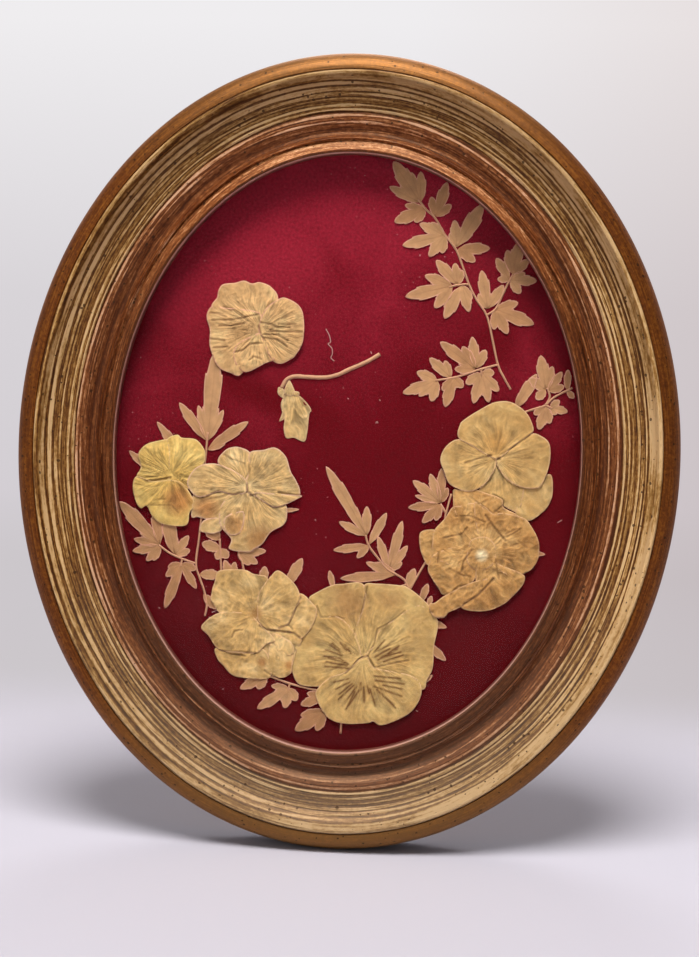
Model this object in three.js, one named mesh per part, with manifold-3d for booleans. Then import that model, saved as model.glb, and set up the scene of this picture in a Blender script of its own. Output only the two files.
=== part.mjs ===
// Oval frame with an arrangement of pressed flowers and leaf sprigs on velvet.
// Millimetres. The front faces -Y, +Z is up, and the origin is the middle of the whole object.
// Everything is first laid out flat: x to the viewer's right, y up, z towards the viewer,
// with z = 0 on the frame's back. One turn then stands it upright.

import * as THREE from "three";
import { mergeVertices } from "three/addons/utils/BufferGeometryUtils.js";
import Module from "manifold-3d";

const wasm = await Module();
wasm.setup();

// Driving dimensions of the frame.
const sightHalfWidth = 96.2;
const sightHalfHeight = 123.2;
const mouldingHeight = 25;
const outerWallHeight = 15;
const rebateWidth = 4;
const ringFacets = 60;

// The moulding's face, from the outer edge inwards: bronze band, groove, ridge, scoop, groove,
// step, cove, bead and the lip that rises to the sight edge.
const bronzeBandWidth = 6.4;
const bronzeBandTop = 23.4;
const grooveWidth = 0.8;
const grooveDepth = 0.9;
const ridgeWidth = 2.6;
const scoopWidth = 13;
const scoopFoot = 15.4;
const stepWidth = 4;
const stepFoot = 13.8;
const coveWidth = 5.3;
const coveFloor = 12.2;
const beadWidth = 1.3;
const beadHeight = 1.2;
const lipWidth = 5.4;
const lipHeight = 16.4;
const lipRound = 1;

// What lies in the rebate, from the back forwards, each a small gap from the next.
const seatGap = 0.3;
const backingThickness = 2;
const boardThickness = 1.2;
const velvetThickness = 0.6;
const sprigThickness = 0.4;
const flowerDepth = 0.8;
const petalThickness = 0.4;
const glassThickness = 2;
const budDepth = 1.1;

// Turn buttons and their screws.
const buttonThickness = 1;
const buttonWidth = 8;
const buttonReach = 13;
const pivotInset = 5;
const shankRadius = 1.2;
const shankLength = 9;
const headRadius = 2.6;
const headHeight = 1.2;
const holeClearance = 0.3;
const buttonAnglesDeg = [40, 140, 220, 320];

// Strap hanger and D-ring.
const strapWidth = 10;
const strapThickness = 1;
const strapScrewInset = 7.5;
const strapScrewRoom = 1.9;
const wireRadius = 1;
const ringHalfWidth = 7;
const ringLeg = 3;
const curlEndDeg = -200;

// Felt bumpers that keep the bottom of the frame off the wall.
const bumperRadius = 5;
const bumperThickness = 3.2;
const bumperAnglesDeg = [240, 300];

const roundFacets = 10;
const wireFacets = 8;

// Levels, all worked out from the stack above.
const backingBack = 0;
const boardBack = backingBack + backingThickness + seatGap;
const velvetBack = boardBack + boardThickness + seatGap;
const sprigBack = velvetBack + velvetThickness + seatGap;
const lowFlowerBack = sprigBack + sprigThickness + seatGap;
const highFlowerBack = lowFlowerBack + flowerDepth + seatGap;
const glassBack = highFlowerBack + flowerDepth + seatGap;
const rebateDepth = glassBack + glassThickness + seatGap;

const bandsBeforeStep = bronzeBandWidth + grooveWidth + ridgeWidth + scoopWidth + grooveWidth;
const mouldingWidth = bandsBeforeStep + stepWidth + coveWidth + beadWidth + lipWidth;
const backWidth = mouldingWidth - rebateWidth;

// The wire turns in the strap's curl, which lies behind the frame. The strap's screw clears the
// D-ring's bow, and the strap ends as far past the screw.
const curlInner = wireRadius + holeClearance;
const curlOuter = curlInner + strapThickness;
const hingeBehind = seatGap + curlOuter;
const hangerStand = seatGap + 2 * curlOuter;
const outerHalfWidth = sightHalfWidth + mouldingWidth;
const outerHalfHeight = sightHalfHeight + mouldingWidth;
const ringDrop = ringLeg + ringHalfWidth + wireRadius;
const strapScrewDrop = ringDrop + strapScrewRoom + headRadius;
const strapLength = strapScrewDrop + headRadius + strapScrewRoom;
const strapScrewUp = sightHalfHeight + rebateWidth + strapScrewInset;
const hingeUp = strapScrewUp + strapScrewDrop;

const creamPaint = { color: 0xb59f78, roughness: 0.62, metalness: 0 };
const clearGlass = { color: 0xe8eeee, roughness: 0.05, metalness: 0, transparent: true, opacity: 0.2 };
const crimsonVelvet = { color: 0x5a0f1c, roughness: 0.95, metalness: 0 };
const greyBoard = { color: 0xcfc8ba, roughness: 0.9, metalness: 0 };
const brownBoard = { color: 0x6d4a30, roughness: 0.8, metalness: 0 };
const brass = { color: 0xb08d4c, roughness: 0.35, metalness: 1 };
const steel = { color: 0xa9a9a4, roughness: 0.35, metalness: 1 };
const felt = { color: 0x3a3a36, roughness: 1, metalness: 0 };
const tanPetal = { color: 0xc9a874, roughness: 0.8, metalness: 0 };
const yellowPetal = { color: 0xcfa85c, roughness: 0.8, metalness: 0 };
const palePetal = { color: 0xcbb288, roughness: 0.8, metalness: 0 };
const dryLeaf = { color: 0xb98f74, roughness: 0.85, metalness: 0 };

const layout = new THREE.Group();

function place(name, geometry, finish) {
  const mesh = new THREE.Mesh(geometry, new THREE.MeshStandardMaterial(finish));
  mesh.name = name;
  layout.add(mesh);
  return mesh;
}

function toSolid(geometry) {
  const bare = geometry.clone();
  bare.deleteAttribute("normal");
  bare.deleteAttribute("uv");
  const merged = mergeVertices(bare);
  const vertProperties = merged.attributes.position.array;
  const triVerts = new Uint32Array(merged.index.array);
  return new wasm.Manifold(new wasm.Mesh({ numProp: 3, vertProperties, triVerts }));
}

function toGeometry(solid) {
  const { vertProperties, triVerts } = solid.getMesh();
  const geometry = new THREE.BufferGeometry();
  geometry.setAttribute("position", new THREE.BufferAttribute(vertProperties, 3));
  geometry.setIndex(new THREE.BufferAttribute(triVerts, 1));
  geometry.computeVertexNormals();
  return geometry;
}

function joined(geometries) {
  let whole = toSolid(geometries[0]);
  for (const geometry of geometries.slice(1)) whole = whole.add(toSolid(geometry));
  return toGeometry(whole);
}

// A flat outline made solid from one level to another.
function slab(shape, low, thickness, curveSegments = roundFacets) {
  const geometry = new THREE.ExtrudeGeometry(shape, { depth: thickness, bevelEnabled: false, curveSegments });
  return geometry.translate(0, 0, low);
}

// An oval ring or plate, turned from a profile of [distance outside the sight edge, level].
// The profile is turned as if round, then stretched upright by the oval's extra height.
function ovalTurned(profile) {
  const points = profile.map(([out, level]) => new THREE.Vector2(sightHalfWidth + out, level));
  const geometry = new THREE.LatheGeometry(points, ringFacets).rotateX(Math.PI / 2);
  const place = geometry.attributes.position;
  const stretch = sightHalfHeight - sightHalfWidth;
  for (let i = 0; i < place.count; i += 1) {
    const radius = Math.hypot(place.getX(i), place.getY(i));
    if (radius > 0) place.setY(i, place.getY(i) * (1 + stretch / radius));
  }
  return geometry;
}

// A point on the back of the moulding, at a distance inside the outer edge, and its inward turn.
function backPoint(angleDeg, inset) {
  const angle = THREE.MathUtils.degToRad(angleDeg);
  const halfWidth = outerHalfWidth - inset;
  const halfHeight = outerHalfHeight - inset;
  const inward = Math.atan2(-Math.sin(angle) / halfHeight, -Math.cos(angle) / halfWidth);
  return { x: halfWidth * Math.cos(angle), y: halfHeight * Math.sin(angle), inward };
}

// Frame moulding, with the screw holes drilled in its back.
function arcPoints(count, from, to, bulge) {
  // Stations from one point to the other along a quarter oval: bulge 1 swells outwards, -1 hollows.
  const stations = [];
  for (let i = 1; i < count; i += 1) {
    const turn = (i / count) * (Math.PI / 2);
    const along = bulge > 0 ? 1 - Math.cos(turn) : Math.sin(turn);
    const rise = bulge > 0 ? Math.sin(turn) : 1 - Math.cos(turn);
    stations.push([from[0] + (to[0] - from[0]) * along, from[1] + (to[1] - from[1]) * rise]);
  }
  return stations;
}

function mouldingProfile() {
  const bronzeEnd = bronzeBandWidth;
  const ridgeStart = bronzeEnd + grooveWidth;
  const ridgeEnd = ridgeStart + ridgeWidth;
  const scoopEnd = ridgeEnd + scoopWidth;
  const stepStart = scoopEnd + grooveWidth;
  const coveStart = stepStart + stepWidth;
  const coveEnd = coveStart + coveWidth;
  const beadEnd = coveEnd + beadWidth;
  const ridgeShoulder = mouldingHeight - grooveDepth / 2;
  const stepTop = scoopFoot - grooveDepth / 2;
  const across = [
    [0, 0],
    [0, outerWallHeight],
    ...arcPoints(4, [0, outerWallHeight], [bronzeEnd, bronzeBandTop], 1),
    [bronzeEnd, bronzeBandTop],
    [(bronzeEnd + ridgeStart) / 2, bronzeBandTop - grooveDepth],
    [ridgeStart, ridgeShoulder],
    [(ridgeStart + ridgeEnd) / 2, mouldingHeight],
    [ridgeEnd, ridgeShoulder],
    ...arcPoints(4, [scoopEnd, scoopFoot], [ridgeEnd, ridgeShoulder], -1).reverse(),
    [scoopEnd, scoopFoot],
    [(scoopEnd + stepStart) / 2, scoopFoot - grooveDepth],
    [stepStart, stepTop],
    [(stepStart + coveStart) / 2, stepTop],
    [coveStart, stepFoot],
    [coveStart + coveWidth / 3, coveFloor],
    [coveEnd - coveWidth / 3, coveFloor],
    [coveEnd, stepFoot],
    [(coveEnd + beadEnd) / 2, stepFoot + beadHeight],
    [beadEnd, stepFoot],
    [mouldingWidth - lipRound, lipHeight],
    [mouldingWidth, lipHeight - lipRound],
    [mouldingWidth, rebateDepth],
    [backWidth, rebateDepth],
    [backWidth, 0],
    [0, 0],
  ];
  return across.map(([inset, level]) => [mouldingWidth - inset, level]);
}

function drillHole(x, y) {
  const radius = shankRadius + holeClearance;
  const depth = shankLength + holeClearance;
  const hole = new THREE.CylinderGeometry(radius, radius, 2 * depth, wireFacets);
  return toSolid(hole.rotateX(Math.PI / 2).translate(x, y, 0));
}

const pivots = buttonAnglesDeg.map((angle) => backPoint(angle, backWidth - pivotInset));
let moulding = toSolid(ovalTurned(mouldingProfile()));
for (const pivot of pivots) moulding = moulding.subtract(drillHole(pivot.x, pivot.y));
moulding = moulding.subtract(drillHole(0, strapScrewUp));
place("frame_moulding", toGeometry(moulding), creamPaint);

// Flat pieces that fill the rebate: pane, velvet, its board and the backing.
function ovalPlate(low, thickness) {
  const edge = rebateWidth - seatGap;
  const high = low + thickness;
  return ovalTurned([[-sightHalfWidth, low], [edge, low], [edge, high], [-sightHalfWidth, high]]);
}

place("front_glass", ovalPlate(glassBack, glassThickness), clearGlass);
place("velvet_sheet", ovalPlate(velvetBack, velvetThickness), crimsonVelvet);
place("mount_board", ovalPlate(boardBack, boardThickness), greyBoard);
place("backing_board", ovalPlate(backingBack, backingThickness), brownBoard);

// Pan-head screws, turned on their own axis with the head behind the frame.
function screwGeometry(headSeat) {
  const profile = [
    [0, -headSeat - headHeight],
    [headRadius / 2, -headSeat - headHeight],
    [headRadius, -headSeat - headHeight / 2],
    [headRadius, -headSeat],
    [shankRadius, -headSeat],
    [shankRadius, shankLength - shankRadius],
    [0, shankLength],
  ];
  const points = profile.map(([radius, level]) => new THREE.Vector2(radius, level));
  return new THREE.LatheGeometry(points, roundFacets).rotateX(Math.PI / 2);
}

// Turn buttons: a brass tongue that reaches over the backing board and swivels on its screw.
function buttonShape() {
  const half = buttonWidth / 2;
  const shape = new THREE.Shape();
  shape.absarc(0, 0, half, Math.PI / 2, (3 * Math.PI) / 2, false);
  shape.absarc(buttonReach - half, 0, half, -Math.PI / 2, Math.PI / 2, false);
  shape.holes.push(new THREE.Path().absarc(0, 0, shankRadius + holeClearance, 0, 2 * Math.PI, true));
  return shape;
}

// Named as seen from behind, where the buttons are turned.
const buttonPlaces = ["upper_left", "upper_right", "lower_right", "lower_left"];
const buttonHeadSeat = 2 * seatGap + buttonThickness;
pivots.forEach((pivot, index) => {
  const button = slab(buttonShape(), -seatGap - buttonThickness, buttonThickness, wireFacets);
  const tongue = place(`turn_button_${buttonPlaces[index]}`, button, brass);
  tongue.position.set(pivot.x, pivot.y, 0);
  tongue.rotation.z = pivot.inward;
  const screw = place(`button_screw_${buttonPlaces[index]}`, screwGeometry(buttonHeadSeat), steel);
  screw.position.set(pivot.x, pivot.y, 0);
});

// Strap hanger: a strip folded round the wire, held by one screw.
function strapGeometry() {
  const front = -seatGap;
  const shape = new THREE.Shape();
  shape.moveTo(-strapLength, front);
  shape.lineTo(0, front);
  const end = THREE.MathUtils.degToRad(curlEndDeg);
  shape.absarc(0, -hingeBehind, curlOuter, Math.PI / 2, end, true);
  shape.absarc(0, -hingeBehind, curlInner, end, Math.PI / 2, false);
  shape.lineTo(-strapLength, front - strapThickness);
  shape.closePath();
  const strip = slab(shape, -strapWidth / 2, strapWidth);
  const turn = new THREE.Matrix4().makeBasis(
    new THREE.Vector3(0, 1, 0),
    new THREE.Vector3(0, 0, 1),
    new THREE.Vector3(1, 0, 0),
  );
  strip.applyMatrix4(turn).translate(0, hingeUp, 0);
  return toGeometry(toSolid(strip).subtract(drillHole(0, strapScrewUp)));
}

place("strap_hanger", strapGeometry(), brass);
const strapScrew = place("strap_screw", screwGeometry(2 * seatGap + strapThickness), steel);
strapScrew.position.set(0, strapScrewUp, 0);

// D-ring: a straight bar in the strap's curl and a bow below it.
function ringGeometry() {
  const bar = new THREE.CylinderGeometry(wireRadius, wireRadius, 2 * (ringHalfWidth + wireRadius), wireFacets);
  bar.rotateZ(Math.PI / 2);
  const bow = [new THREE.Vector3(-ringHalfWidth, 0, 0)];
  for (let i = 0; i <= roundFacets; i += 1) {
    const turn = Math.PI + (i / roundFacets) * Math.PI;
    bow.push(new THREE.Vector3(ringHalfWidth * Math.cos(turn), ringHalfWidth * Math.sin(turn) - ringLeg, 0));
  }
  bow.push(new THREE.Vector3(ringHalfWidth, 0, 0));
  const section = new THREE.Shape().absarc(0, 0, wireRadius, 0, 2 * Math.PI, false);
  const bent = new THREE.ExtrudeGeometry(section, {
    extrudePath: new THREE.CatmullRomCurve3(bow),
    steps: 2 * roundFacets,
    curveSegments: wireFacets / 2,
    bevelEnabled: false,
  });
  return joined([bar, bent]);
}

const ring = place("d_ring", ringGeometry(), brass);
ring.position.set(0, hingeUp, -hingeBehind);

// Felt bumpers.
const bumperPlaces = ["right", "left"];
bumperAnglesDeg.forEach((angle, index) => {
  const seat = backPoint(angle, backWidth / 2);
  const disc = new THREE.CylinderGeometry(bumperRadius, bumperRadius, bumperThickness, roundFacets);
  const bumper = place(`felt_bumper_${bumperPlaces[index]}`, disc.rotateX(Math.PI / 2), felt);
  bumper.position.set(seat.x, seat.y, -seatGap - bumperThickness / 2);
});

// Pressed sprigs. Places are shares of the sight's half width and half height, from its middle.
// A stem is a list of places. A leaflet is its foot and then one row for each lobe:
// the lobe's tip, and its width as a share of the sight's half width.
// Every pressed piece is drawn with the sight's half width as 1 and then fitted to the sight as a
// whole, so that it keeps together in a frame of another size. The arrangement runs a little under
// the lip and lies a hair to the right of the frame's middle.
const drawnUprightShare = 1.2718;
const arrangementWidthShare = 1.0135;
const arrangementHeightShare = 1.0065;
const arrangementShiftShare = 0.007;
const stemWidthShare = 0.0113;
const lobeStationShares = [[0.26, 0.72], [0.54, 1], [0.82, 0.62]];
const lobeFootShare = 0.16;

function atShare(u, v) {
  return new THREE.Vector2(u, v * drawnUprightShare);
}

function pressed(shape, low, thickness) {
  const wide = sightHalfWidth * arrangementWidthShare;
  const high = (sightHalfHeight * arrangementHeightShare) / drawnUprightShare;
  const piece = slab(shape, low, thickness).scale(wide, high, 1);
  return piece.translate(sightHalfWidth * arrangementShiftShare, 0, 0);
}

function lobeShape(foot, tip, width) {
  const along = tip.clone().sub(foot);
  const side = new THREE.Vector2(-along.y, along.x).normalize().multiplyScalar(width / 2);
  const edge = (share, spread) => foot.clone().addScaledVector(along, share).addScaledVector(side, spread);
  const right = lobeStationShares.map(([share, spread]) => edge(share, -spread));
  const left = lobeStationShares.map(([share, spread]) => edge(share, spread)).reverse();
  return new THREE.Shape([edge(0, -lobeFootShare), ...right, tip, ...left, edge(0, lobeFootShare)]);
}

function stripShape(places, width) {
  const right = [];
  const left = [];
  places.forEach((place, index) => {
    const ahead = places[Math.min(index + 1, places.length - 1)];
    const behind = places[Math.max(index - 1, 0)];
    const run = ahead.clone().sub(behind).normalize().multiplyScalar(width / 2);
    right.push(new THREE.Vector2(place.x + run.y, place.y - run.x));
    left.unshift(new THREE.Vector2(place.x - run.y, place.y + run.x));
  });
  return new THREE.Shape([...right, ...left]);
}

function sprigGeometry(shares) {
  const parts = [];
  for (const stem of shares.stemShares) {
    const places = stem.map(([u, v]) => atShare(u, v));
    parts.push(pressed(stripShape(places, stemWidthShare), sprigBack, sprigThickness));
  }
  for (const [[footU, footV], lobes] of shares.leafletShares) {
    for (const [tipU, tipV, widthShare] of lobes) {
      const lobe = lobeShape(atShare(footU, footV), atShare(tipU, tipV), widthShare);
      parts.push(pressed(lobe, sprigBack, sprigThickness));
    }
  }
  return joined(parts);
}

const upperRightSprigShares = {
  stemShares: [
    [[0.262, 0.86], [0.295, 0.828], [0.335, 0.8], [0.38, 0.745], [0.43, 0.695], [0.46, 0.64], [0.49, 0.58],
      [0.525, 0.53], [0.57, 0.478], [0.6, 0.39], [0.625, 0.315], [0.655, 0.27], [0.682, 0.236]],
    [[0.492, 0.583], [0.45, 0.58], [0.405, 0.572]],
    [[0.57, 0.482], [0.605, 0.503], [0.632, 0.55], [0.657, 0.595], [0.675, 0.62]],
    [[0.626, 0.318], [0.55, 0.3], [0.45, 0.272], [0.36, 0.258]],
    [[0.555, 0.305], [0.555, 0.28]],
  ],
  leafletShares: [
    [[0.272, 0.85], [[0.15, 0.985, 0.075], [0.137, 0.9, 0.05], [0.228, 0.95, 0.04], [0.268, 0.953, 0.052]]],
    [[0.292, 0.828], [[0.162, 0.783, 0.062], [0.25, 0.783, 0.045], [0.205, 0.84, 0.04]]],
    [[0.338, 0.805], [[0.382, 0.92, 0.055], [0.316, 0.87, 0.045], [0.403, 0.845, 0.045]]],
    [[0.378, 0.742], [[0.2, 0.705, 0.06], [0.27, 0.78, 0.05], [0.318, 0.785, 0.04], [0.315, 0.67, 0.05],
      [0.37, 0.682, 0.045]]],
    [[0.432, 0.705], [[0.418, 0.795, 0.05], [0.535, 0.848, 0.075], [0.4, 0.752, 0.04]]],
    [[0.438, 0.7], [[0.573, 0.703, 0.055], [0.512, 0.657, 0.05], [0.472, 0.667, 0.04]]],
    [[0.44, 0.58], [[0.346, 0.66, 0.055], [0.426, 0.652, 0.045], [0.457, 0.63, 0.042]]],
    [[0.42, 0.575], [[0.22, 0.535, 0.066], [0.3, 0.608, 0.052], [0.346, 0.5, 0.055]]],
    [[0.458, 0.578], [[0.39, 0.465, 0.062], [0.494, 0.49, 0.05], [0.503, 0.53, 0.042]]],
    [[0.572, 0.503], [[0.54, 0.63, 0.055], [0.636, 0.583, 0.05], [0.53, 0.552, 0.045]]],
    [[0.66, 0.602], [[0.6, 0.672, 0.048], [0.608, 0.602, 0.035]]],
    [[0.672, 0.62], [[0.645, 0.7, 0.05], [0.695, 0.728, 0.062], [0.738, 0.67, 0.045]]],
    [[0.664, 0.6], [[0.725, 0.625, 0.042], [0.775, 0.6, 0.05], [0.708, 0.556, 0.045]]],
    [[0.605, 0.5], [[0.7, 0.526, 0.05], [0.77, 0.455, 0.066], [0.66, 0.42, 0.052], [0.602, 0.433, 0.045]]],
    [[0.528, 0.3], [[0.375, 0.388, 0.06], [0.47, 0.375, 0.052], [0.44, 0.298, 0.045]]],
    [[0.532, 0.303], [[0.51, 0.408, 0.05], [0.57, 0.366, 0.05]]],
    [[0.425, 0.268], [[0.332, 0.333, 0.05], [0.398, 0.326, 0.04]]],
    [[0.37, 0.258], [[0.223, 0.212, 0.055], [0.28, 0.285, 0.05], [0.346, 0.187, 0.05], [0.292, 0.203, 0.04]]],
    [[0.437, 0.27], [[0.406, 0.17, 0.055], [0.48, 0.237, 0.045], [0.39, 0.225, 0.04]]],
    [[0.556, 0.287], [[0.49, 0.25, 0.05], [0.526, 0.185, 0.052], [0.592, 0.19, 0.05], [0.632, 0.228, 0.05],
      [0.61, 0.29, 0.045]]],
  ],
};

const rightEdgeSprigShares = {
  stemShares: [
    [[0.72, 0.155], [0.79, 0.175], [0.83, 0.186], [0.86, 0.21], [0.9, 0.23], [0.942, 0.247]],
    [[0.832, 0.188], [0.848, 0.215], [0.835, 0.245]],
    [[0.832, 0.186], [0.86, 0.178]],
  ],
  leafletShares: [
    [[0.83, 0.238], [[0.803, 0.353, 0.06], [0.855, 0.318, 0.045], [0.757, 0.275, 0.05], [0.79, 0.205, 0.045]]],
    [[0.7, 0.168], [[0.79, 0.29, 0.056]]],
    [[0.84, 0.235], [[0.896, 0.3, 0.042], [0.908, 0.252, 0.042]]],
    [[0.834, 0.182], [[0.782, 0.155, 0.04], [0.806, 0.104, 0.05], [0.852, 0.125, 0.045]]],
    [[0.852, 0.18], [[0.89, 0.205, 0.036], [0.926, 0.167, 0.04], [0.88, 0.157, 0.036]]],
    [[0.92, 0.238], [[0.92, 0.308, 0.036], [0.95, 0.213, 0.03]]],
  ],
};

const leftSprigShares = {
  stemShares: [
    [[-0.61, 0.06], [-0.616, -0.01], [-0.622, -0.08], [-0.625, -0.2], [-0.635, -0.3], [-0.645, -0.39],
      [-0.625, -0.44], [-0.604, -0.485], [-0.593, -0.53], [-0.6, -0.565]],
    [[-0.645, -0.388], [-0.7, -0.375], [-0.755, -0.358], [-0.81, -0.33]],
    [[-0.705, -0.372], [-0.712, -0.4]],
    [[-0.622, -0.07], [-0.69, -0.045], [-0.76, -0.045], [-0.88, -0.068]],
  ],
  leafletShares: [
    [[-0.61, 0.03], [[-0.583, 0.34, 0.085], [-0.655, 0.15, 0.042], [-0.545, 0.137, 0.042]]],
    [[-0.614, 0.03], [[-0.738, 0.157, 0.05]]],
    [[-0.612, 0.0], [[-0.436, 0.1, 0.054], [-0.532, 0.024, 0.03]]],
    [[-0.69, -0.05], [[-0.832, 0.09, 0.045]]],
    [[-0.86, -0.075], [[-0.95, -0.012, 0.035]]],
    [[-0.805, -0.328], [[-0.988, -0.185, 0.085], [-0.92, -0.312, 0.045]]],
    [[-0.805, -0.332], [[-0.832, -0.2, 0.062]]],
    [[-0.802, -0.333], [[-0.924, -0.354, 0.045], [-0.862, -0.386, 0.04], [-0.832, -0.384, 0.036]]],
    [[-0.738, -0.362], [[-0.782, -0.22, 0.095], [-0.68, -0.293, 0.045], [-0.672, -0.342, 0.042]]],
    [[-0.708, -0.39], [[-0.776, -0.546, 0.06], [-0.64, -0.474, 0.045], [-0.776, -0.436, 0.042],
      [-0.768, -0.405, 0.036], [-0.642, -0.408, 0.042]]],
    [[-0.63, -0.425], [[-0.54, -0.422, 0.052]]],
    [[-0.61, -0.492], [[-0.545, -0.54, 0.045]]],
  ],
};

const clusterSprigShares = {
  stemShares: [
    [[-0.53, -0.45], [-0.535, -0.4], [-0.54, -0.345], [-0.545, -0.3]],
    [[-0.43, -0.43], [-0.445, -0.375], [-0.46, -0.345], [-0.42, -0.25], [-0.3, -0.197]],
    [[-0.53, -0.448], [-0.43, -0.428], [-0.36, -0.45], [-0.25, -0.455]],
  ],
  leafletShares: [
    [[-0.54, -0.335], [[-0.622, -0.318, 0.055], [-0.505, -0.365, 0.045], [-0.555, -0.372, 0.04]]],
    [[-0.543, -0.304], [[-0.612, -0.268, 0.05], [-0.6, -0.24, 0.045]]],
    [[-0.462, -0.345], [[-0.342, -0.336, 0.045], [-0.376, -0.38, 0.045], [-0.41, -0.386, 0.04]]],
    [[-0.49, -0.435], [[-0.522, -0.372, 0.04], [-0.475, -0.377, 0.038]]],
    [[-0.352, -0.45], [[-0.345, -0.388, 0.045]]],
    [[-0.25, -0.455], [[-0.184, -0.356, 0.055]]],
    [[-0.31, -0.2], [[-0.204, -0.191, 0.02]]],
  ],
};

const middleSprigShares = {
  stemShares: [
    [[0.085, -0.27], [0.1, -0.305], [0.14, -0.345], [0.18, -0.38], [0.225, -0.4], [0.262, -0.42],
      [0.28, -0.46]],
    [[0.278, -0.455], [0.345, -0.355], [0.41, -0.27], [0.425, -0.19], [0.446, -0.12]],
    [[0.425, -0.185], [0.4, -0.155]],
    [[0.418, -0.24], [0.6, -0.275], [0.78, -0.308]],
    [[0.28, -0.455], [0.33, -0.49], [0.37, -0.505]],
    [[0.268, -0.432], [0.1, -0.47], [-0.045, -0.455]],
  ],
  leafletShares: [
    [[0.09, -0.272], [[-0.095, -0.042, 0.06], [0.086, -0.172, 0.045], [-0.032, -0.228, 0.042]]],
    [[0.1, -0.303], [[0.172, -0.192, 0.045]]],
    [[0.102, -0.305], [[-0.052, -0.325, 0.042], [0.05, -0.348, 0.034]]],
    [[0.19, -0.385], [[0.24, -0.217, 0.05], [0.267, -0.3, 0.042], [0.138, -0.272, 0.042],
      [0.246, -0.357, 0.036]]],
    [[0.222, -0.4], [[-0.018, -0.42, 0.05], [0.09, -0.362, 0.042], [0.135, -0.36, 0.036]]],
    [[0.268, -0.45], [[0.3, -0.376, 0.048]]],
    [[0.33, -0.49], [[0.359, -0.426, 0.036]]],
    [[0.362, -0.503], [[0.377, -0.467, 0.026]]],
    [[-0.045, -0.458], [[-0.066, -0.394, 0.03]]],
    [[0.402, -0.152], [[0.4, -0.036, 0.045], [0.43, -0.1, 0.036]]],
    [[0.4, -0.152], [[0.279, -0.08, 0.05], [0.352, -0.055, 0.045], [0.29, -0.13, 0.03]]],
    [[0.402, -0.158], [[0.263, -0.172, 0.045], [0.325, -0.222, 0.045], [0.382, -0.213, 0.038]]],
    [[0.77, -0.306], [[0.854, -0.313, 0.024]]],
  ],
};

const bottomSprigShares = {
  stemShares: [
    [[-0.34, -0.755], [-0.28, -0.77], [-0.22, -0.785], [-0.14, -0.799], [-0.08, -0.81], [-0.055, -0.85],
      [-0.06, -0.885]],
    [[-0.222, -0.787], [-0.228, -0.808]],
    [[-0.06, -0.86], [0, -0.885], [0.005, -0.948]],
  ],
  leafletShares: [
    [[-0.325, -0.758], [[-0.437, -0.81, 0.05], [-0.362, -0.808, 0.05]]],
    [[-0.226, -0.8], [[-0.36, -0.876, 0.055], [-0.24, -0.87, 0.05], [-0.188, -0.842, 0.05],
      [-0.302, -0.795, 0.035]]],
    [[-0.075, -0.825], [[-0.172, -0.856, 0.048], [-0.146, -0.815, 0.038]]],
    [[-0.065, -0.872], [[-0.193, -0.945, 0.066], [-0.1, -0.943, 0.05], [-0.172, -0.892, 0.045]]],
  ],
};

const lowerRightSprigShares = {
  stemShares: [
    [[0.34, -0.53], [0.36, -0.58], [0.365, -0.64], [0.35, -0.72], [0.345, -0.775]],
    [[0.34, -0.535], [0.37, -0.528]],
  ],
  leafletShares: [
    [[0.36, -0.528], [[0.437, -0.536, 0.024]]],
    [[0.355, -0.55], [[0.446, -0.572, 0.034]]],
    [[0.36, -0.625], [[0.447, -0.684, 0.04]]],
    [[0.35, -0.765], [[0.392, -0.735, 0.02]]],
  ],
};

place("sprig_upper_right", sprigGeometry(upperRightSprigShares), dryLeaf);
place("sprig_right_edge", sprigGeometry(rightEdgeSprigShares), dryLeaf);
place("sprig_left", sprigGeometry(leftSprigShares), dryLeaf);
place("sprig_behind_cluster", sprigGeometry(clusterSprigShares), dryLeaf);
place("sprig_middle", sprigGeometry(middleSprigShares), dryLeaf);
place("sprig_bottom", sprigGeometry(bottomSprigShares), dryLeaf);
place("sprig_lower_right", sprigGeometry(lowerRightSprigShares), dryLeaf);

// Pressed flowers. Each row is a petal, the hindmost first: the place of its middle, its half width
// and half height, all as shares of the sight's half sizes, and its turn in degrees.
const petalFacets = 14;
const ruffleShare = 0.035;
const rufflesPerPetal = 5;

function petalShape([u, v, halfU, halfV, turnDeg], index) {
  const middle = atShare(u, v);
  const half = atShare(halfU, halfV);
  const turn = THREE.MathUtils.degToRad(turnDeg);
  const points = [];
  for (let i = 0; i < petalFacets; i += 1) {
    const angle = (i / petalFacets) * 2 * Math.PI;
    const swell = 1 + ruffleShare * Math.sin(rufflesPerPetal * angle + index);
    const edge = new THREE.Vector2(half.x * Math.cos(angle) * swell, half.y * Math.sin(angle) * swell);
    points.push(edge.rotateAround(new THREE.Vector2(), turn).add(middle));
  }
  return new THREE.Shape(points);
}

function flowerGeometry(petalShares, back) {
  const step = (flowerDepth - petalThickness) / (petalShares.length - 1);
  const petals = petalShares.map((petal, index) => {
    return pressed(petalShape(petal, index), back + index * step, petalThickness);
  });
  return joined(petals);
}

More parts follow.
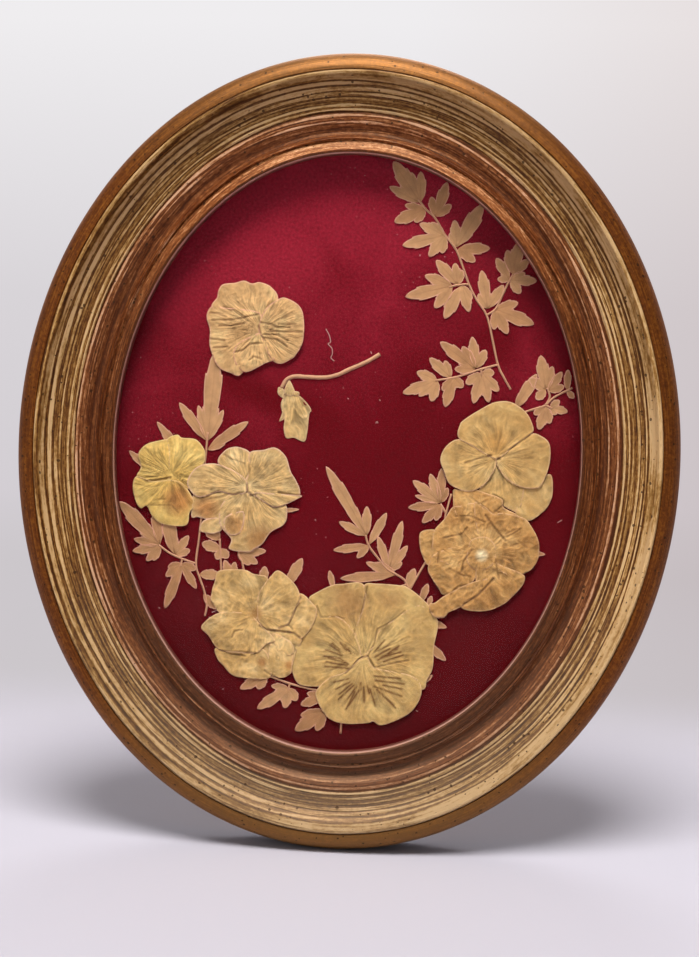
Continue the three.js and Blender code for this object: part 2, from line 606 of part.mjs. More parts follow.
const upperLeftPansyShares = [
  [-0.45, 0.49, 0.125, 0.08, -6],
  [-0.515, 0.345, 0.098, 0.082, 20],
  [-0.55, 0.43, 0.083, 0.082, 0],
  [-0.435, 0.35, 0.095, 0.078, -20],
  [-0.312, 0.41, 0.103, 0.108, 0],
  [-0.42, 0.42, 0.085, 0.06, 0],
];
const yellowPansyShares = [
  [-0.69, -0.13, 0.085, 0.085, 0],
  [-0.855, -0.13, 0.077, 0.07, 0],
  [-0.83, -0.04, 0.083, 0.062, 12],
  [-0.71, -0.03, 0.088, 0.074, 0],
  [-0.762, -0.175, 0.092, 0.083, 0],
];
const palePansyShares = [
  [-0.6, -0.195, 0.062, 0.036, -20],
  [-0.51, -0.24, 0.075, 0.085, 0],
  [-0.505, -0.06, 0.095, 0.073, 10],
  [-0.37, -0.235, 0.115, 0.095, 25],
  [-0.6, -0.11, 0.086, 0.055, -8],
  [-0.365, -0.06, 0.1, 0.072, -10],
  [-0.33, -0.13, 0.13, 0.048, -12],
];
const paleClusterShares = [
  [-0.475, -0.49, 0.105, 0.088, 0],
  [-0.52, -0.61, 0.092, 0.05, 8],
  [-0.44, -0.69, 0.105, 0.08, 0],
  [-0.185, -0.56, 0.085, 0.083, 0],
  [-0.27, -0.68, 0.078, 0.085, 0],
  [-0.42, -0.6, 0.12, 0.08, 0],
  [-0.29, -0.5, 0.095, 0.1, 0],
];
const veinedPansyShares = [
  [0.1, -0.55, 0.24, 0.12, 0],
  [-0.055, -0.665, 0.165, 0.13, 0],
  [0.235, -0.645, 0.165, 0.155, 0],
  [0.12, -0.785, 0.225, 0.128, 0],
];
const crumpledFlowerShares = [
  [0.535, -0.155, 0.088, 0.052, 0],
  [0.415, -0.305, 0.1, 0.052, -12],
  [0.5, -0.25, 0.1, 0.08, 0],
  [0.47, -0.39, 0.1, 0.075, -18],
  [0.69, -0.26, 0.12, 0.075, -15],
  [0.71, -0.34, 0.105, 0.105, 0],
  [0.6, -0.42, 0.13, 0.088, 0],
  [0.5, -0.465, 0.125, 0.026, 41],
  [0.58, -0.31, 0.1, 0.09, 0],
];
const yellowishPansyShares = [
  [0.78, -0.115, 0.1, 0.088, 20],
  [0.65, -0.105, 0.1, 0.075, 0],
  [0.62, 0.108, 0.16, 0.087, 0],
  [0.75, 0.0, 0.112, 0.093, 0],
  [0.515, -0.015, 0.115, 0.09, 0],
];

place("pansy_upper_left", flowerGeometry(upperLeftPansyShares, lowFlowerBack), tanPetal);
place("pansy_yellow", flowerGeometry(yellowPansyShares, lowFlowerBack), yellowPetal);
place("pansy_pale", flowerGeometry(palePansyShares, highFlowerBack), palePetal);
place("flower_pale_cluster", flowerGeometry(paleClusterShares, highFlowerBack), palePetal);
place("pansy_veined", flowerGeometry(veinedPansyShares, lowFlowerBack), tanPetal);
place("flower_crumpled", flowerGeometry(crumpledFlowerShares, highFlowerBack), tanPetal);
place("pansy_yellowish", flowerGeometry(yellowishPansyShares, lowFlowerBack), yellowPetal);

// The bud hangs from a bent stalk and lies straight on the velvet.
const stalkWidthShare = 0.0195;
const budStalkShares = [
  [-0.275, 0.235], [-0.262, 0.252], [-0.2, 0.26], [-0.12, 0.262], [-0.05, 0.278], [0.02, 0.305], [0.075, 0.33],
  [0.125, 0.345],
];
const budPetalShares = [
  [[-0.265, 0.25], [-0.295, 0.105, 0.045]],
  [[-0.285, 0.06], [-0.195, 0.058, 0.05]],
  [[-0.265, 0.25], [-0.24, 0.045, 0.09]],
  [[-0.265, 0.25], [-0.19, 0.05, 0.08]],
  [[-0.262, 0.24], [-0.165, 0.13, 0.07]],
  [[-0.26, 0.22], [-0.313, 0.212, 0.025]],
];

function budGeometry() {
  const stalk = stripShape(budStalkShares.map(([u, v]) => atShare(u, v)), stalkWidthShare);
  const parts = [pressed(stalk, sprigBack, budDepth)];
  budPetalShares.forEach(([[footU, footV], [tipU, tipV, widthShare]], index) => {
    const shape = lobeShape(atShare(footU, footV), atShare(tipU, tipV), widthShare);
    const step = (budDepth - petalThickness) / (budPetalShares.length - 1);
    parts.push(pressed(shape, sprigBack + index * step, petalThickness));
  });
  return joined(parts);
}

place("bud_on_stalk", budGeometry(), palePetal);

// Stand the layout upright, with the middle of its depth at the origin.
layout.rotation.x = Math.PI / 2;
layout.position.y = (mouldingHeight - hangerStand) / 2;
const group = new THREE.Group();
group.add(layout);
export default group;
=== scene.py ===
# Oval wall frame with pressed pansies and leaf sprigs on velvet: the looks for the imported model.
# The object's own sizes below are in millimetres; meshes are finished in metres.
import math
import random

import bmesh
import bpy
from mathutils import Matrix, Vector, kdtree, noise


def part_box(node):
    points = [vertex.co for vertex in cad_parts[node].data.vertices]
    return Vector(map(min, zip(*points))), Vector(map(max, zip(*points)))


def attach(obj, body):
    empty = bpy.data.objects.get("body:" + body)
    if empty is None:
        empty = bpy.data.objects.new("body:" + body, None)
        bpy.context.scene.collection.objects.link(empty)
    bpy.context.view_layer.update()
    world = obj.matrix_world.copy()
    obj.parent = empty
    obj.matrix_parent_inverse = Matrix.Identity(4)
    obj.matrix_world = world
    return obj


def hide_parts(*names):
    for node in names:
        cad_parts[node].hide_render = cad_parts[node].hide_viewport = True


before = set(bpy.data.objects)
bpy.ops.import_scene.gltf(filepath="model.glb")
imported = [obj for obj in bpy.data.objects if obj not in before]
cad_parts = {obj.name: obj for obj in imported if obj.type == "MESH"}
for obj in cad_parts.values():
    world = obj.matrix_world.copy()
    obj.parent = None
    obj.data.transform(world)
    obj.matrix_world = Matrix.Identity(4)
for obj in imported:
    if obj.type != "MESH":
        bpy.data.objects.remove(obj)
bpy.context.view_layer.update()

# Camera. It stands half a metre in front of the frame, a little to the right and above, and is
# tipped so that the frame's top leans to the right in the picture.
CAMERA_DISTANCE = 0.56
CAMERA_AZIMUTH = 3.2
CAMERA_ELEVATION = 1.0
CAMERA_ROLL = 1.88
CAMERA_LENS = 50.85
AIM_RIGHT = 0.0017
AIM_BELOW = 0.0098
azimuth = math.radians(CAMERA_AZIMUTH)
elevation = math.radians(CAMERA_ELEVATION)
camera = bpy.data.objects.new("camera", bpy.data.cameras.new("camera"))
bpy.context.scene.collection.objects.link(camera)
camera.location = CAMERA_DISTANCE * Vector((
    math.sin(azimuth) * math.cos(elevation),
    -math.cos(azimuth) * math.cos(elevation),
    math.sin(elevation),
))
towards = Vector((AIM_RIGHT, 0, -AIM_BELOW)) - camera.location
camera.rotation_mode = "QUATERNION"
camera.rotation_quaternion = (
    towards.to_track_quat("-Z", "Y") @ Matrix.Rotation(math.radians(CAMERA_ROLL), 3, "Z").to_quaternion()
)
camera.data.sensor_width = 36
camera.data.lens = CAMERA_LENS
camera.data.clip_start = 0.01
bpy.context.scene.camera = camera

# Frame moulding: an oval of turned wood, painted cream and combed in rings while wet, with a
# bronze outer bead, then glazed brown. The glaze lies in the comb lines and is rubbed off the crests.
HALF_WIDTH = 135.8
UPRIGHT_EXTRA = 27.0
FRAME_BACK = 10.05
SIGHT_INSET = 39.6
REBATE_INSET = 35.6
REBATE_DEPTH = 9.9
TURNS = 360
FACE_PITCH = 0.17
BEAD_EDGE = 8.1
COVE_EDGE = 28.2
COMB_DEPTH = 0.24
WAVINESS = 0.12
COMB_CRESTS = [  # inset on the right, from and to, and on the left; then lightness on the right and left
    (8.4, 13.0, 7.9, 9.7, 0.85, 0.58), (13.5, 14.0, 10.5, 11.8, 0.85, 0.8),
    (14.7, 16.0, 12.8, 14.2, 0.58, 0.92), (16.2, 17.1, 15.2, 16.5, 0.88, 0.55),
    (18.0, 19.4, 17.0, 17.6, 0.5, 0.62), (20.1, 20.8, 19.9, 20.8, 0.8, 0.85),
    (21.6, 22.7, 22.0, 22.7, 0.9, 0.85), (24.4, 25.3, 23.4, 24.5, 0.75, 0.8),
    (27.9, 28.6, 25.2, 25.9, 0.6, 0.65), (32.4, 32.9, 33.8, 34.4, 0.45, 0.4),
]
PAINT_BETWEEN = [  # inset, lightness of the paint between the crests
    (8.3, 0.2), (8.6, 0.5), (10.5, 0.5), (12.6, 0.34), (22.7, 0.3), (23.0, 0.03), (23.8, 0.03), (24.2, 0.32),
    (28.4, 0.26), (28.8, 0.06), (29.8, 0.12), (32.0, 0.16), (35.0, 0.22), (38.4, 0.2),
]


def srgb(code):
    """A hex colour as Blender's linear colour."""
    parts = [int(code[i:i + 2], 16) / 255 for i in (1, 3, 5)]
    return (*[c / 12.92 if c <= 0.04045 else ((c + 0.055) / 1.055) ** 2.4 for c in parts], 1)


def feed(tree, node, inputs):
    """Gives each of the node's sockets a value, or links the output that is given for it."""
    for socket, value in inputs.items():
        if isinstance(value, bpy.types.NodeSocket):
            tree.links.new(value, node.inputs[socket])
        else:
            node.inputs[socket].default_value = value


def add(tree, kind, inputs=None, stops=None, out=0, **settings):
    """Adds a shader node with its settings and gives one of its outputs."""
    made = tree.nodes.new("ShaderNode" + kind)
    for name, value in settings.items():
        setattr(made, name, value)
    feed(tree, made, inputs or {})
    if stops:
        elements = made.color_ramp.elements
        elements[0].position, elements[0].color = stops[0]
        elements[1].position, elements[1].color = stops[-1]
        for place, colour in stops[1:-1]:
            elements.new(place).color = colour
    return made.outputs[out]


def new_finish(name, values=None):
    """A material with its one shader, whose even values are set on the shader's own sockets."""
    finish = bpy.data.materials.new(name)
    finish.use_nodes = True
    shader = finish.node_tree.nodes["Principled BSDF"]
    feed(finish.node_tree, shader, values or {})
    return finish, finish.node_tree, shader


def grey(value):
    return (value, value, value, 1)


def smooth(low, high, value):
    """0 below low, 1 above high, and an even rise between."""
    share = min(max((value - low) / (high - low), 0), 1)
    return share * share * (3 - 2 * share)


def between(stations, at):
    """Reads a list of stations (place, value) at a place."""
    if at <= stations[0][0]:
        return stations[0][1]
    for (near, low), (far, high) in zip(stations, stations[1:]):
        if at <= far:
            return low + (high - low) * (at - near) / (far - near)
    return stations[-1][1]


def stood_up(x, up, level):
    """A place on the flat layout, with its level above the frame's back, in metres."""
    return Vector((x, FRAME_BACK - level, up)) / 1000


def make_piece(name, bm, finishes, replaces=(), body="frame", sharp=40):
    mesh = bpy.data.meshes.new(name)
    bm.to_mesh(mesh)
    bm.free()
    mesh.shade_smooth()
    mesh.set_sharp_from_angle(angle=math.radians(sharp))
    for finish in finishes:
        mesh.materials.append(finish)
    made = bpy.data.objects.new(name, mesh)
    bpy.context.scene.collection.objects.link(made)
    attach(made, body)
    if replaces:
        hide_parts(*replaces)
    return made


def quarter(count, start, end, bulge):
    """Stations from start up to end along a quarter oval that swells (1) or hollows (-1)."""
    stations = []
    for i in range(count):
        turn = i / count * math.pi / 2
        along = 1 - math.cos(turn) if bulge > 0 else math.sin(turn)
        rise = math.sin(turn) if bulge > 0 else 1 - math.cos(turn)
        stations.append((start[0] + (end[0] - start[0]) * along, start[1] + (end[1] - start[1]) * rise))
    return stations


profile = quarter(14, (0, 15), (7.8, 24.2), 1) + [(7.8, 24.2), (8.1, 23.9), (8.4, 24.2)]
profile += quarter(5, (8.5, 24.3), (9.2, 25), 1) + quarter(5, (10.2, 24.5), (9.2, 25), 1)[::-1]
profile += quarter(24, (22.4, 15.5), (10.2, 24.5), -1)[::-1] + [(22.8, 14.8), (23.2, 14.9), (23.6, 15.0)]
profile += [(25.6, 14.9), (26.6, 14.55), (27.6, 13.8)]
profile += [(27.6 + 5.3 * i / 16, 13.8 - 1.65 * math.sin(i / 16 * math.pi)) for i in range(1, 17)]
profile += [(32.9 + 1.3 * i / 6, 13.8 + 1.2 * math.sin(i / 6 * math.pi)) for i in range(1, 6)]
profile += [(34.2 + 4.4 * i / 14, 13.8 + 2.6 * (i / 14) ** 1.25) for i in range(15)]
profile += quarter(5, (39.6, 15.4), (38.6, 16.4), 1)[::-1]


def comb(inset, across, up):
    """How light the combed paint is at a place on the face: 0 in the glaze, 1 on a rubbed crest, and painted
    lighter towards the frame's top as a painted highlight.
    """
    side = 0.5 + 0.5 * across
    flow = noise.noise(Vector((across * 2.2, up * 2.2, inset / 3)))
    streak = noise.noise(Vector((across * 4, up * 4, inset / 0.55)))
    lightness = between(PAINT_BETWEEN, inset + 0.3 * flow) + 0.22 * streak
    # Painted highlight: the paint is made lighter towards the frame's top, most on the lip, where the overhead
    # light falls.
    lightness += smooth(0.3, 1, up) * (0.09 + 0.16 * smooth(32.5, 34.5, inset))
    for index, (near_right, far_right, near_left, far_left, right, left) in enumerate(COMB_CRESTS):
        wander = 0.4 * noise.noise(Vector((across * 1.7, up * 1.7, index * 5.3)))
        swell = 0.3 * noise.noise(Vector((across * 9, up * 9, index * 3.1)))
        near = near_left + (near_right - near_left) * side + wander - swell
        far = far_left + (far_right - far_left) * side + wander + swell
        if near - 0.6 < inset < far + 0.6 and far - near > 0.15:
            inside = smooth(-0.15, 0.15, min(inset - near, far - inset))
            beside = smooth(-0.6, -0.2, min(inset - near, far - inset))
            worn = left + (right - left) * side + 0.4 * noise.noise(Vector((across * 6, up * 6, index * 9.7)))
            lightness = lightness * (1 - 0.65 * beside) * (1 - inside) + (worn + 0.34 * streak) * inside
    return lightness


insets = sorted(set(round(inset, 2) for inset, level in profile if inset < 39.59)
                | set(round(BEAD_EDGE + 0.3 + FACE_PITCH * i, 2)
                      for i in range(int((COVE_EDGE + 6 - BEAD_EDGE) / FACE_PITCH))))
insets = [inset for i, inset in enumerate(insets) if i == 0 or inset - insets[i - 1] > 0.06]
bm = bmesh.new()
section = [(0, 0), (0, 7.5)] + [(inset, between(profile, inset)) for inset in insets]
section += [(SIGHT_INSET, 15.2), (SIGHT_INSET, 12.5), (SIGHT_INSET, REBATE_DEPTH)]
section += [(REBATE_INSET, REBATE_DEPTH), (REBATE_INSET, 0)]
corners = [bm.verts.new((HALF_WIDTH - inset, FRAME_BACK - level, 0)) for inset, level in section]
sides = [bm.edges.new(pair) for pair in zip(corners, corners[1:] + corners[:1])]
bmesh.ops.spin(bm, geom=corners + sides, cent=(0, 0, 0), axis=(0, 1, 0), dvec=(0, 0, 0),
               angle=2 * math.pi, steps=TURNS, use_merge=True, use_duplicate=False)
inset_layer = bm.verts.layers.float.new("inset")
light_layer = bm.verts.layers.float.new("lightness")
run_layer = bm.verts.layers.float_vector.new("run")
for vert in bm.verts:
    radius = math.hypot(vert.co.x, vert.co.z)
    inset = HALF_WIDTH - radius
    level = FRAME_BACK - vert.co.y
    across, up = vert.co.x / radius, vert.co.z / radius
    vert[inset_layer] = inset
    vert[run_layer] = (across, up, inset)
    if level > 12 and BEAD_EDGE + 0.1 < inset < 38.5:
        vert[light_layer] = comb(inset, across, up)
        vert.co.y += COMB_DEPTH * (1 - min(max(vert[light_layer], 0), 1))
    # On the sight wall the lightness rises towards its front edge; the darker paint deeper in is painted shade.
    if inset > SIGHT_INSET - 0.1:
        vert[light_layer] = smooth(12.4, 15, level)
    if level > 12 and 0.3 < inset < 39.3:
        vert.co.y += WAVINESS * (0.5 + noise.noise(Vector((across * 9, up * 9, inset / 2.5))))
    vert.co.z *= 1 + UPRIGHT_EXTRA / radius
    vert.co /= 1000
bmesh.ops.recalc_face_normals(bm, faces=bm.faces)

# Antiqued combed paint: cream streaks over brown glaze, a bronze-painted bead, and dark fly specks.
# The wax over it holds bronze powder, which warms every reflection, and it is duller where the
# glaze lies. Streaks are about 0.5 mm wide and specks about 0.3 to 1.3 mm. Light and shade are
# painted in as well: highlights at the top, shade on the outer face there, at the outer edge and
# deep in the sight, and the floor's reflection at the foot.
combed_paint, tree, shader = new_finish("antiqued combed paint", {
    "Specular IOR Level": 0.6, "Specular Tint": (1, 0.6, 0.34, 1)})
inset_out = add(tree, "Attribute", attribute_name="inset", out="Fac")
light_out = add(tree, "Attribute", attribute_name="lightness", out="Fac")
run = add(tree, "Attribute", attribute_name="run", out="Vector")
where = add(tree, "TexCoord", out="Object")
streaks, torn = (add(tree, "TexNoise", {
    "Vector": add(tree, "VectorMath", {0: run, 1: scale}, operation="MULTIPLY"),
    "Scale": 1, "Detail": 4, "Roughness": 0.6}) for scale in ((7, 7, 2.0), (45, 45, 1.6)))
crumbs = add(tree, "TexNoise", {"Vector": where, "Scale": 700, "Detail": 4, "Roughness": 0.65})
light = light_out
for roughened, share in ((streaks, 1.4), (torn, 1.1), (crumbs, 0.5)):
    light = add(tree, "Math", {
        0: add(tree, "Math", {0: roughened, 1: share, 2: -share / 2}, operation="MULTIPLY_ADD"),
        1: light}, operation="ADD")
cream = add(tree, "ValToRGB", {"Fac": light}, stops=[
    (0.0, srgb("#351706")), (0.16, srgb("#532c0c")), (0.36, srgb("#764e20")), (0.52, srgb("#8e6735")),
    (0.68, srgb("#af8752")), (0.95, srgb("#cda877"))])
up_out = add(tree, "MapRange", {
    "Value": add(tree, "SeparateXYZ", {"Vector": run}, out="Y"), "From Min": -1})
# Painted reflection: towards the frame's foot the cream and umber are mixed towards a cool grey-brown, the pale
# floor's reflection painted in.
painted_floor_reflection = add(tree, "MapRange", {
    "Value": up_out, "From Min": 0.35, "From Max": 0.0, "To Max": 0.42})
cream = add(tree, "Mix", {"Factor": painted_floor_reflection, "A": cream, "B": srgb("#74695a")},
            data_type="RGBA", out="Result")
# Painted shade: at the frame's top the outer face, which faces down there, is darkened.
painted_shade_head = add(tree, "Math", {
    0: add(tree, "MapRange", {"Value": up_out, "From Min": 0.7}),
    1: add(tree, "MapRange", {"Value": inset_out, "From Min": 18, "From Max": 12})},
    operation="MULTIPLY")
cream = add(tree, "Mix", {"Factor": painted_shade_head, "A": cream, "B": srgb("#d0ccc8")},
            data_type="RGBA", blend_type="MULTIPLY", out="Result")
umber = add(tree, "ValToRGB", {"Fac": light}, stops=[
    (0.0, srgb("#3c1606")), (0.2, srgb("#5a2a0f")), (0.45, srgb("#794521")), (0.66, srgb("#a5714a")),
    (0.95, srgb("#ca9d7a"))])
umber = add(tree, "Mix", {"Factor": painted_floor_reflection, "A": umber, "B": srgb("#6a5040")},
            data_type="RGBA", out="Result")
# Painted highlight: the umber is made up to 1.35 times lighter at the frame's top.
umber = add(tree, "VectorMath", {
    0: umber, "Scale": add(tree, "MapRange", {
        "Value": up_out, "From Min": 0.75, "To Min": 1, "To Max": 1.35})},
    operation="SCALE")
bronze = add(tree, "ValToRGB", {
    "Fac": add(tree, "Mix", {"Factor": 0.45, "A": streaks, "B": crumbs}, out="Result")}, stops=[
    (0.34, srgb("#431c08")), (0.5, srgb("#66330c")), (0.64, srgb("#8c5219"))])
# Painted highlight at the top of the bead and painted reflection of the floor at its foot: the bronze is mixed
# towards pale gold there.
bronze = add(tree, "Mix", {
    "Factor": add(tree, "ValToRGB", {"Fac": up_out}, stops=[
        (0.0, grey(0.5)), (0.2, grey(0)), (0.85, grey(0)), (1.0, grey(0.3))]),
    "A": bronze, "B": srgb("#94703f")}, data_type="RGBA", out="Result")
inner = add(tree, "MapRange", {"Value": inset_out, "From Min": 22.6, "From Max": 23.6})
face_colour = add(tree, "Mix", {"Factor": inner, "A": cream, "B": umber}, data_type="RGBA", out="Result")
off_bead = add(tree, "MapRange", {
    "Value": inset_out, "From Min": BEAD_EDGE - 0.15, "From Max": BEAD_EDGE + 0.15})
face_colour = add(tree, "Mix", {"Factor": off_bead, "A": bronze, "B": face_colour},
                  data_type="RGBA", out="Result")
# The darkening at the outer edge, within about 1.2 mm, is painted shade where the bead turns away; the thin band
# near the bead's edge is its dark paint line.
edges = add(tree, "ValToRGB", {
    "Fac": add(tree, "Math", {0: inset_out, 1: SIGHT_INSET}, operation="DIVIDE")}, stops=[
    (0.0, grey(0.9)), (0.01, grey(0.6)), (0.03, grey(0)), (0.196, grey(0)), (0.203, grey(0.4)),
    (0.209, grey(0.4)), (0.218, grey(0))])
face_colour = add(tree, "Mix", {"Factor": edges, "A": face_colour, "B": srgb("#3a1d0b")},
                  data_type="RGBA", out="Result")
# The sight wall: rosy paint at its front edge, going dark brown deeper in as painted shade.
rosy = add(tree, "MapRange", {
    "Value": inset_out, "From Min": 39.3, "From Max": 39.5, "To Max": 0.8})
lip_edge = add(tree, "Mix", {"Factor": light_out, "A": srgb("#62302a"), "B": srgb("#c49a8c")},
               data_type="RGBA", out="Result")
face_colour = add(tree, "Mix", {"Factor": rosy, "A": face_colour, "B": lip_edge},
                  data_type="RGBA", out="Result")
cells = add(tree, "TexVoronoi", {"Vector": where, "Scale": 330}).node.outputs
speck_size = add(tree, "MapRange", {
    "Value": cells["Color"], "From Min": 0.25, "From Max": 0.85, "To Min": 0.06, "To Max": 0.23})
speck = add(tree, "Math", {
    0: add(tree, "Math", {0: crumbs, 1: 0.3, 2: cells["Distance"]}, operation="MULTIPLY_ADD"),
    1: add(tree, "Math", {0: speck_size, 1: 0.14}, operation="ADD")},
    operation="LESS_THAN")
specked = add(tree, "Mix", {
    "Factor": add(tree, "Math", {0: speck, 1: 0.85}, operation="MULTIPLY"),
    "A": face_colour, "B": srgb("#241005")}, data_type="RGBA", out="Result")
tree.links.new(specked, shader.inputs["Base Color"])
tree.links.new(add(tree, "MapRange", {
    "Value": off_bead, "To Min": 0.5, "To Max": 0.0}), shader.inputs["Metallic"])
tree.links.new(add(tree, "MapRange", {
    "Value": light, "To Min": 0.46, "To Max": 0.4}), shader.inputs["Roughness"])
tree.links.new(add(tree, "Bump", {
    "Height": add(tree, "Mix", {"Factor": 0.35, "A": streaks, "B": crumbs}, out="Result"),
    "Strength": 0.6, "Distance": 0.0004}), shader.inputs["Normal"])

# Raw turned softwood on the back and in the rebate. Its growth lines run from side to side, about
# 1 mm apart.
raw_wood, tree, shader = new_finish("raw turned softwood", {"Roughness": 0.8})
where = add(tree, "TexCoord", out="Object")
grain = add(tree, "TexNoise", {
    "Vector": add(tree, "VectorMath", {0: where, 1: (30, 200, 900)}, operation="MULTIPLY"),
    "Scale": 1, "Detail": 5})
tree.links.new(add(tree, "ValToRGB", {"Fac": grain}, stops=[
    (0.3, srgb("#8a6238")), (0.55, srgb("#a97d4c")), (0.75, srgb("#b98e5c"))]),
    shader.inputs["Base Color"])
tree.links.new(add(tree, "Bump", {
    "Height": grain, "Strength": 0.3, "Distance": 0.0002}), shader.inputs["Normal"])
for polygon in bm.faces:
    level = FRAME_BACK / 1000 - polygon.calc_center_median().y
    if level < 0.0001 or (polygon.verts[0][inset_layer] > 35 and level < 0.00995):
        polygon.material_index = 1
make_piece("frame_moulding_painted", bm, [combed_paint, raw_wood], ["frame_moulding"])

# Glass: a flat oval pane of picture glass with a faint non-reflecting finish, held under the lip.
# The CAD pane's shape is right, so it keeps its mesh.
pane, tree, shader = new_finish("picture glass")
tree.nodes.remove(shader)
clear = add(tree, "BsdfTransparent", {"Color": (0.985, 0.99, 0.985, 1)})
mirror = add(tree, "BsdfGlossy", {"Color": grey(0.9), "Roughness": 0.02})
share = add(tree, "Math", {
    0: add(tree, "Fresnel", {"IOR": 1.45}), 1: 0.08}, operation="MULTIPLY")
both = add(tree, "MixShader", {0: share, 1: clear, 2: mirror})
tree.links.new(both, tree.nodes["Material Output"].inputs["Surface"])
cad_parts["front_glass"].data.materials.clear()
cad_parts["front_glass"].data.materials.append(pane)

# Velvet: one oval of crimson cotton velvet, stretched over the mount board, its short pile laid
# unevenly by brushing, with a little dust under the glass. Its colour is painted lighter towards
# the top and the left, where the light and the pile's sheen fall: painted light.
PLATE_HALF_WIDTH = 99.9
VELVET_BACK = 3.8
VELVET_FRONT = 4.4
bm = bmesh.new()
bmesh.ops.create_circle(bm, cap_ends=True, radius=PLATE_HALF_WIDTH, segments=180)
for step in range(3):
    widest = max(bm.faces, key=lambda f: f.calc_area())
    bmesh.ops.inset_region(bm, faces=[widest], thickness=1 + 4 * step, depth=0)
bmesh.ops.triangulate(bm, faces=[f for f in bm.faces if len(f.verts) > 4])
lifted = bmesh.ops.extrude_face_region(bm, geom=bm.faces[:])
for vert in [v for v in lifted["geom"] if isinstance(v, bmesh.types.BMVert)]:
    vert.co.z = VELVET_FRONT - VELVET_BACK
for vert in bm.verts:
    radius = math.hypot(vert.co.x, vert.co.y)
    stretch = 1 + UPRIGHT_EXTRA / radius if radius > 0 else 1
    vert.co = stood_up(vert.co.x, vert.co.y * stretch, VELVET_BACK + vert.co.z)
bmesh.ops.recalc_face_normals(bm, faces=bm.faces)
velvet_pile, tree, shader = new_finish("crimson cotton velvet", {
    "Roughness": 0.95, "Specular IOR Level": 0.05, "Sheen Weight": 0.04, "Sheen Roughness": 0.4})
where = add(tree, "TexCoord", out="Object")
nap = add(tree, "TexNoise", {"Vector": where, "Scale": 22, "Detail": 3, "Distortion": 0.6})
pile = add(tree, "TexNoise", {"Vector": where, "Scale": 900, "Detail": 3})
dust = add(tree, "TexNoise", {"Vector": where, "Scale": 700, "Detail": 1})
dusty = add(tree, "TexNoise", {"Vector": where, "Scale": 30, "Detail": 2})
# Painted light: a gradient in the colour, lighter towards the top and left, laid over the pile's uneven nap.
painted_light_slant = add(tree, "VectorMath", {0: where, 1: (-1.0, 0, 5.2)}, operation="DOT_PRODUCT", out="Value")
nap_and_painted_light = add(tree, "Math", {0: nap, 1: 0.9, 2: painted_light_slant}, operation="MULTIPLY_ADD")
nap_and_light_colour = add(tree, "ValToRGB", {"Fac": nap_and_painted_light}, stops=[
    (0.0, srgb("#5a0a10")), (0.5, srgb("#680b15")), (1.0, srgb("#942030"))])
piled = add(tree, "Mix", {
    "Factor": 1, "A": nap_and_light_colour,
    "B": add(tree, "ValToRGB", {"Fac": pile}, stops=[(0.3, grey(0.75)), (0.7, grey(1.2))])},
    data_type="RGBA", blend_type="MULTIPLY", out="Result")
dust_share = add(tree, "Math", {
    0: add(tree, "ValToRGB", {"Fac": dust}, stops=[(0.72, grey(0)), (0.78, grey(0.7))]),
    1: add(tree, "ValToRGB", {"Fac": dusty}, stops=[(0.45, grey(0)), (0.65, grey(1))])},
    operation="MULTIPLY")
tree.links.new(add(tree, "Mix", {"Factor": dust_share, "A": piled, "B": srgb("#c08c8c")},
                   data_type="RGBA", out="Result"), shader.inputs["Base Color"])
tree.links.new(add(tree, "Bump", {
    "Height": pile, "Strength": 0.5, "Distance": 0.0003}), shader.inputs["Normal"])
velvet = make_piece("velvet_cloth", bm, [velvet_pile], ["velvet_sheet"])

# Mount board and backing board: a grey card that carries the velvet, and a brown fibre board with
# its screen side out. Both keep their CAD shape.
card, tree, shader = new_finish("grey mount card", {"Roughness": 0.9})
fibres = add(tree, "TexNoise", {
    "Vector": add(tree, "TexCoord", out="Object"), "Scale": 600, "Detail": 4})
tree.links.new(add(tree, "ValToRGB", {"Fac": fibres}, stops=[
    (0.35, srgb("#b3aa98")), (0.65, srgb("#cfc8ba"))]), shader.inputs["Base Color"])
hardboard, tree, shader = new_finish("screen-backed hardboard", {"Roughness": 0.75})
where = add(tree, "TexCoord", out="Object")
fibres = add(tree, "TexNoise", {"Vector": where, "Scale": 350, "Detail": 5, "Distortion": 1.5})
clouds = add(tree, "TexNoise", {"Vector": where, "Scale": 18, "Detail": 3})
mixed = add(tree, "Mix", {"Factor": 0.3, "A": fibres, "B": clouds}, out="Result")
tree.links.new(add(tree, "ValToRGB", {"Fac": mixed}, stops=[
    (0.34, srgb("#4a2f1b")), (0.52, srgb("#6f4b2e")), (0.66, srgb("#8b6542"))]),
    shader.inputs["Base Color"])
wires = [add(tree, "TexWave", {"Vector": where, "Scale": 105, "Distortion": 0.4},
             bands_direction=way, out=1) for way in ("X", "Z")]
screen = add(tree, "Math", {0: wires[0], 1: wires[1]}, operation="MULTIPLY")
tree.links.new(add(tree, "Bump", {
    "Height": screen, "Strength": 0.5, "Distance": 0.0003}), shader.inputs["Normal"])
for node, finish in (("mount_board", card), ("backing_board", hardboard)):
    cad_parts[node].data.materials.clear()
    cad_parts[node].data.materials.append(finish)

# Turn buttons, screws, strap hanger and ring: stamped brass and dull steel. The buttons and the
# strap hanger are their CAD solids with their edges rounded as pressing and wear leave them.
CORNERS = ["upper_left", "upper_right", "lower_right", "lower_left"]


def rounded_copy(node, edge, angle=30):
    """The node's shape with its doubles merged and its sharp edges rounded."""
    bm = bmesh.new()
    bm.from_mesh(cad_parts[node].data)
    bmesh.ops.remove_doubles(bm, verts=bm.verts, dist=1e-6)
    bmesh.ops.dissolve_limit(bm, angle_limit=math.radians(1), verts=bm.verts, edges=bm.edges)
    sharp = [e for e in bm.edges if e.is_manifold and e.calc_face_angle() > math.radians(angle)]
    bmesh.ops.bevel(bm, geom=sharp, offset=edge / 1000, offset_type="OFFSET", affect="EDGES", segments=2,
                    profile=0.5, material=-1, clamp_overlap=True)
    return bm


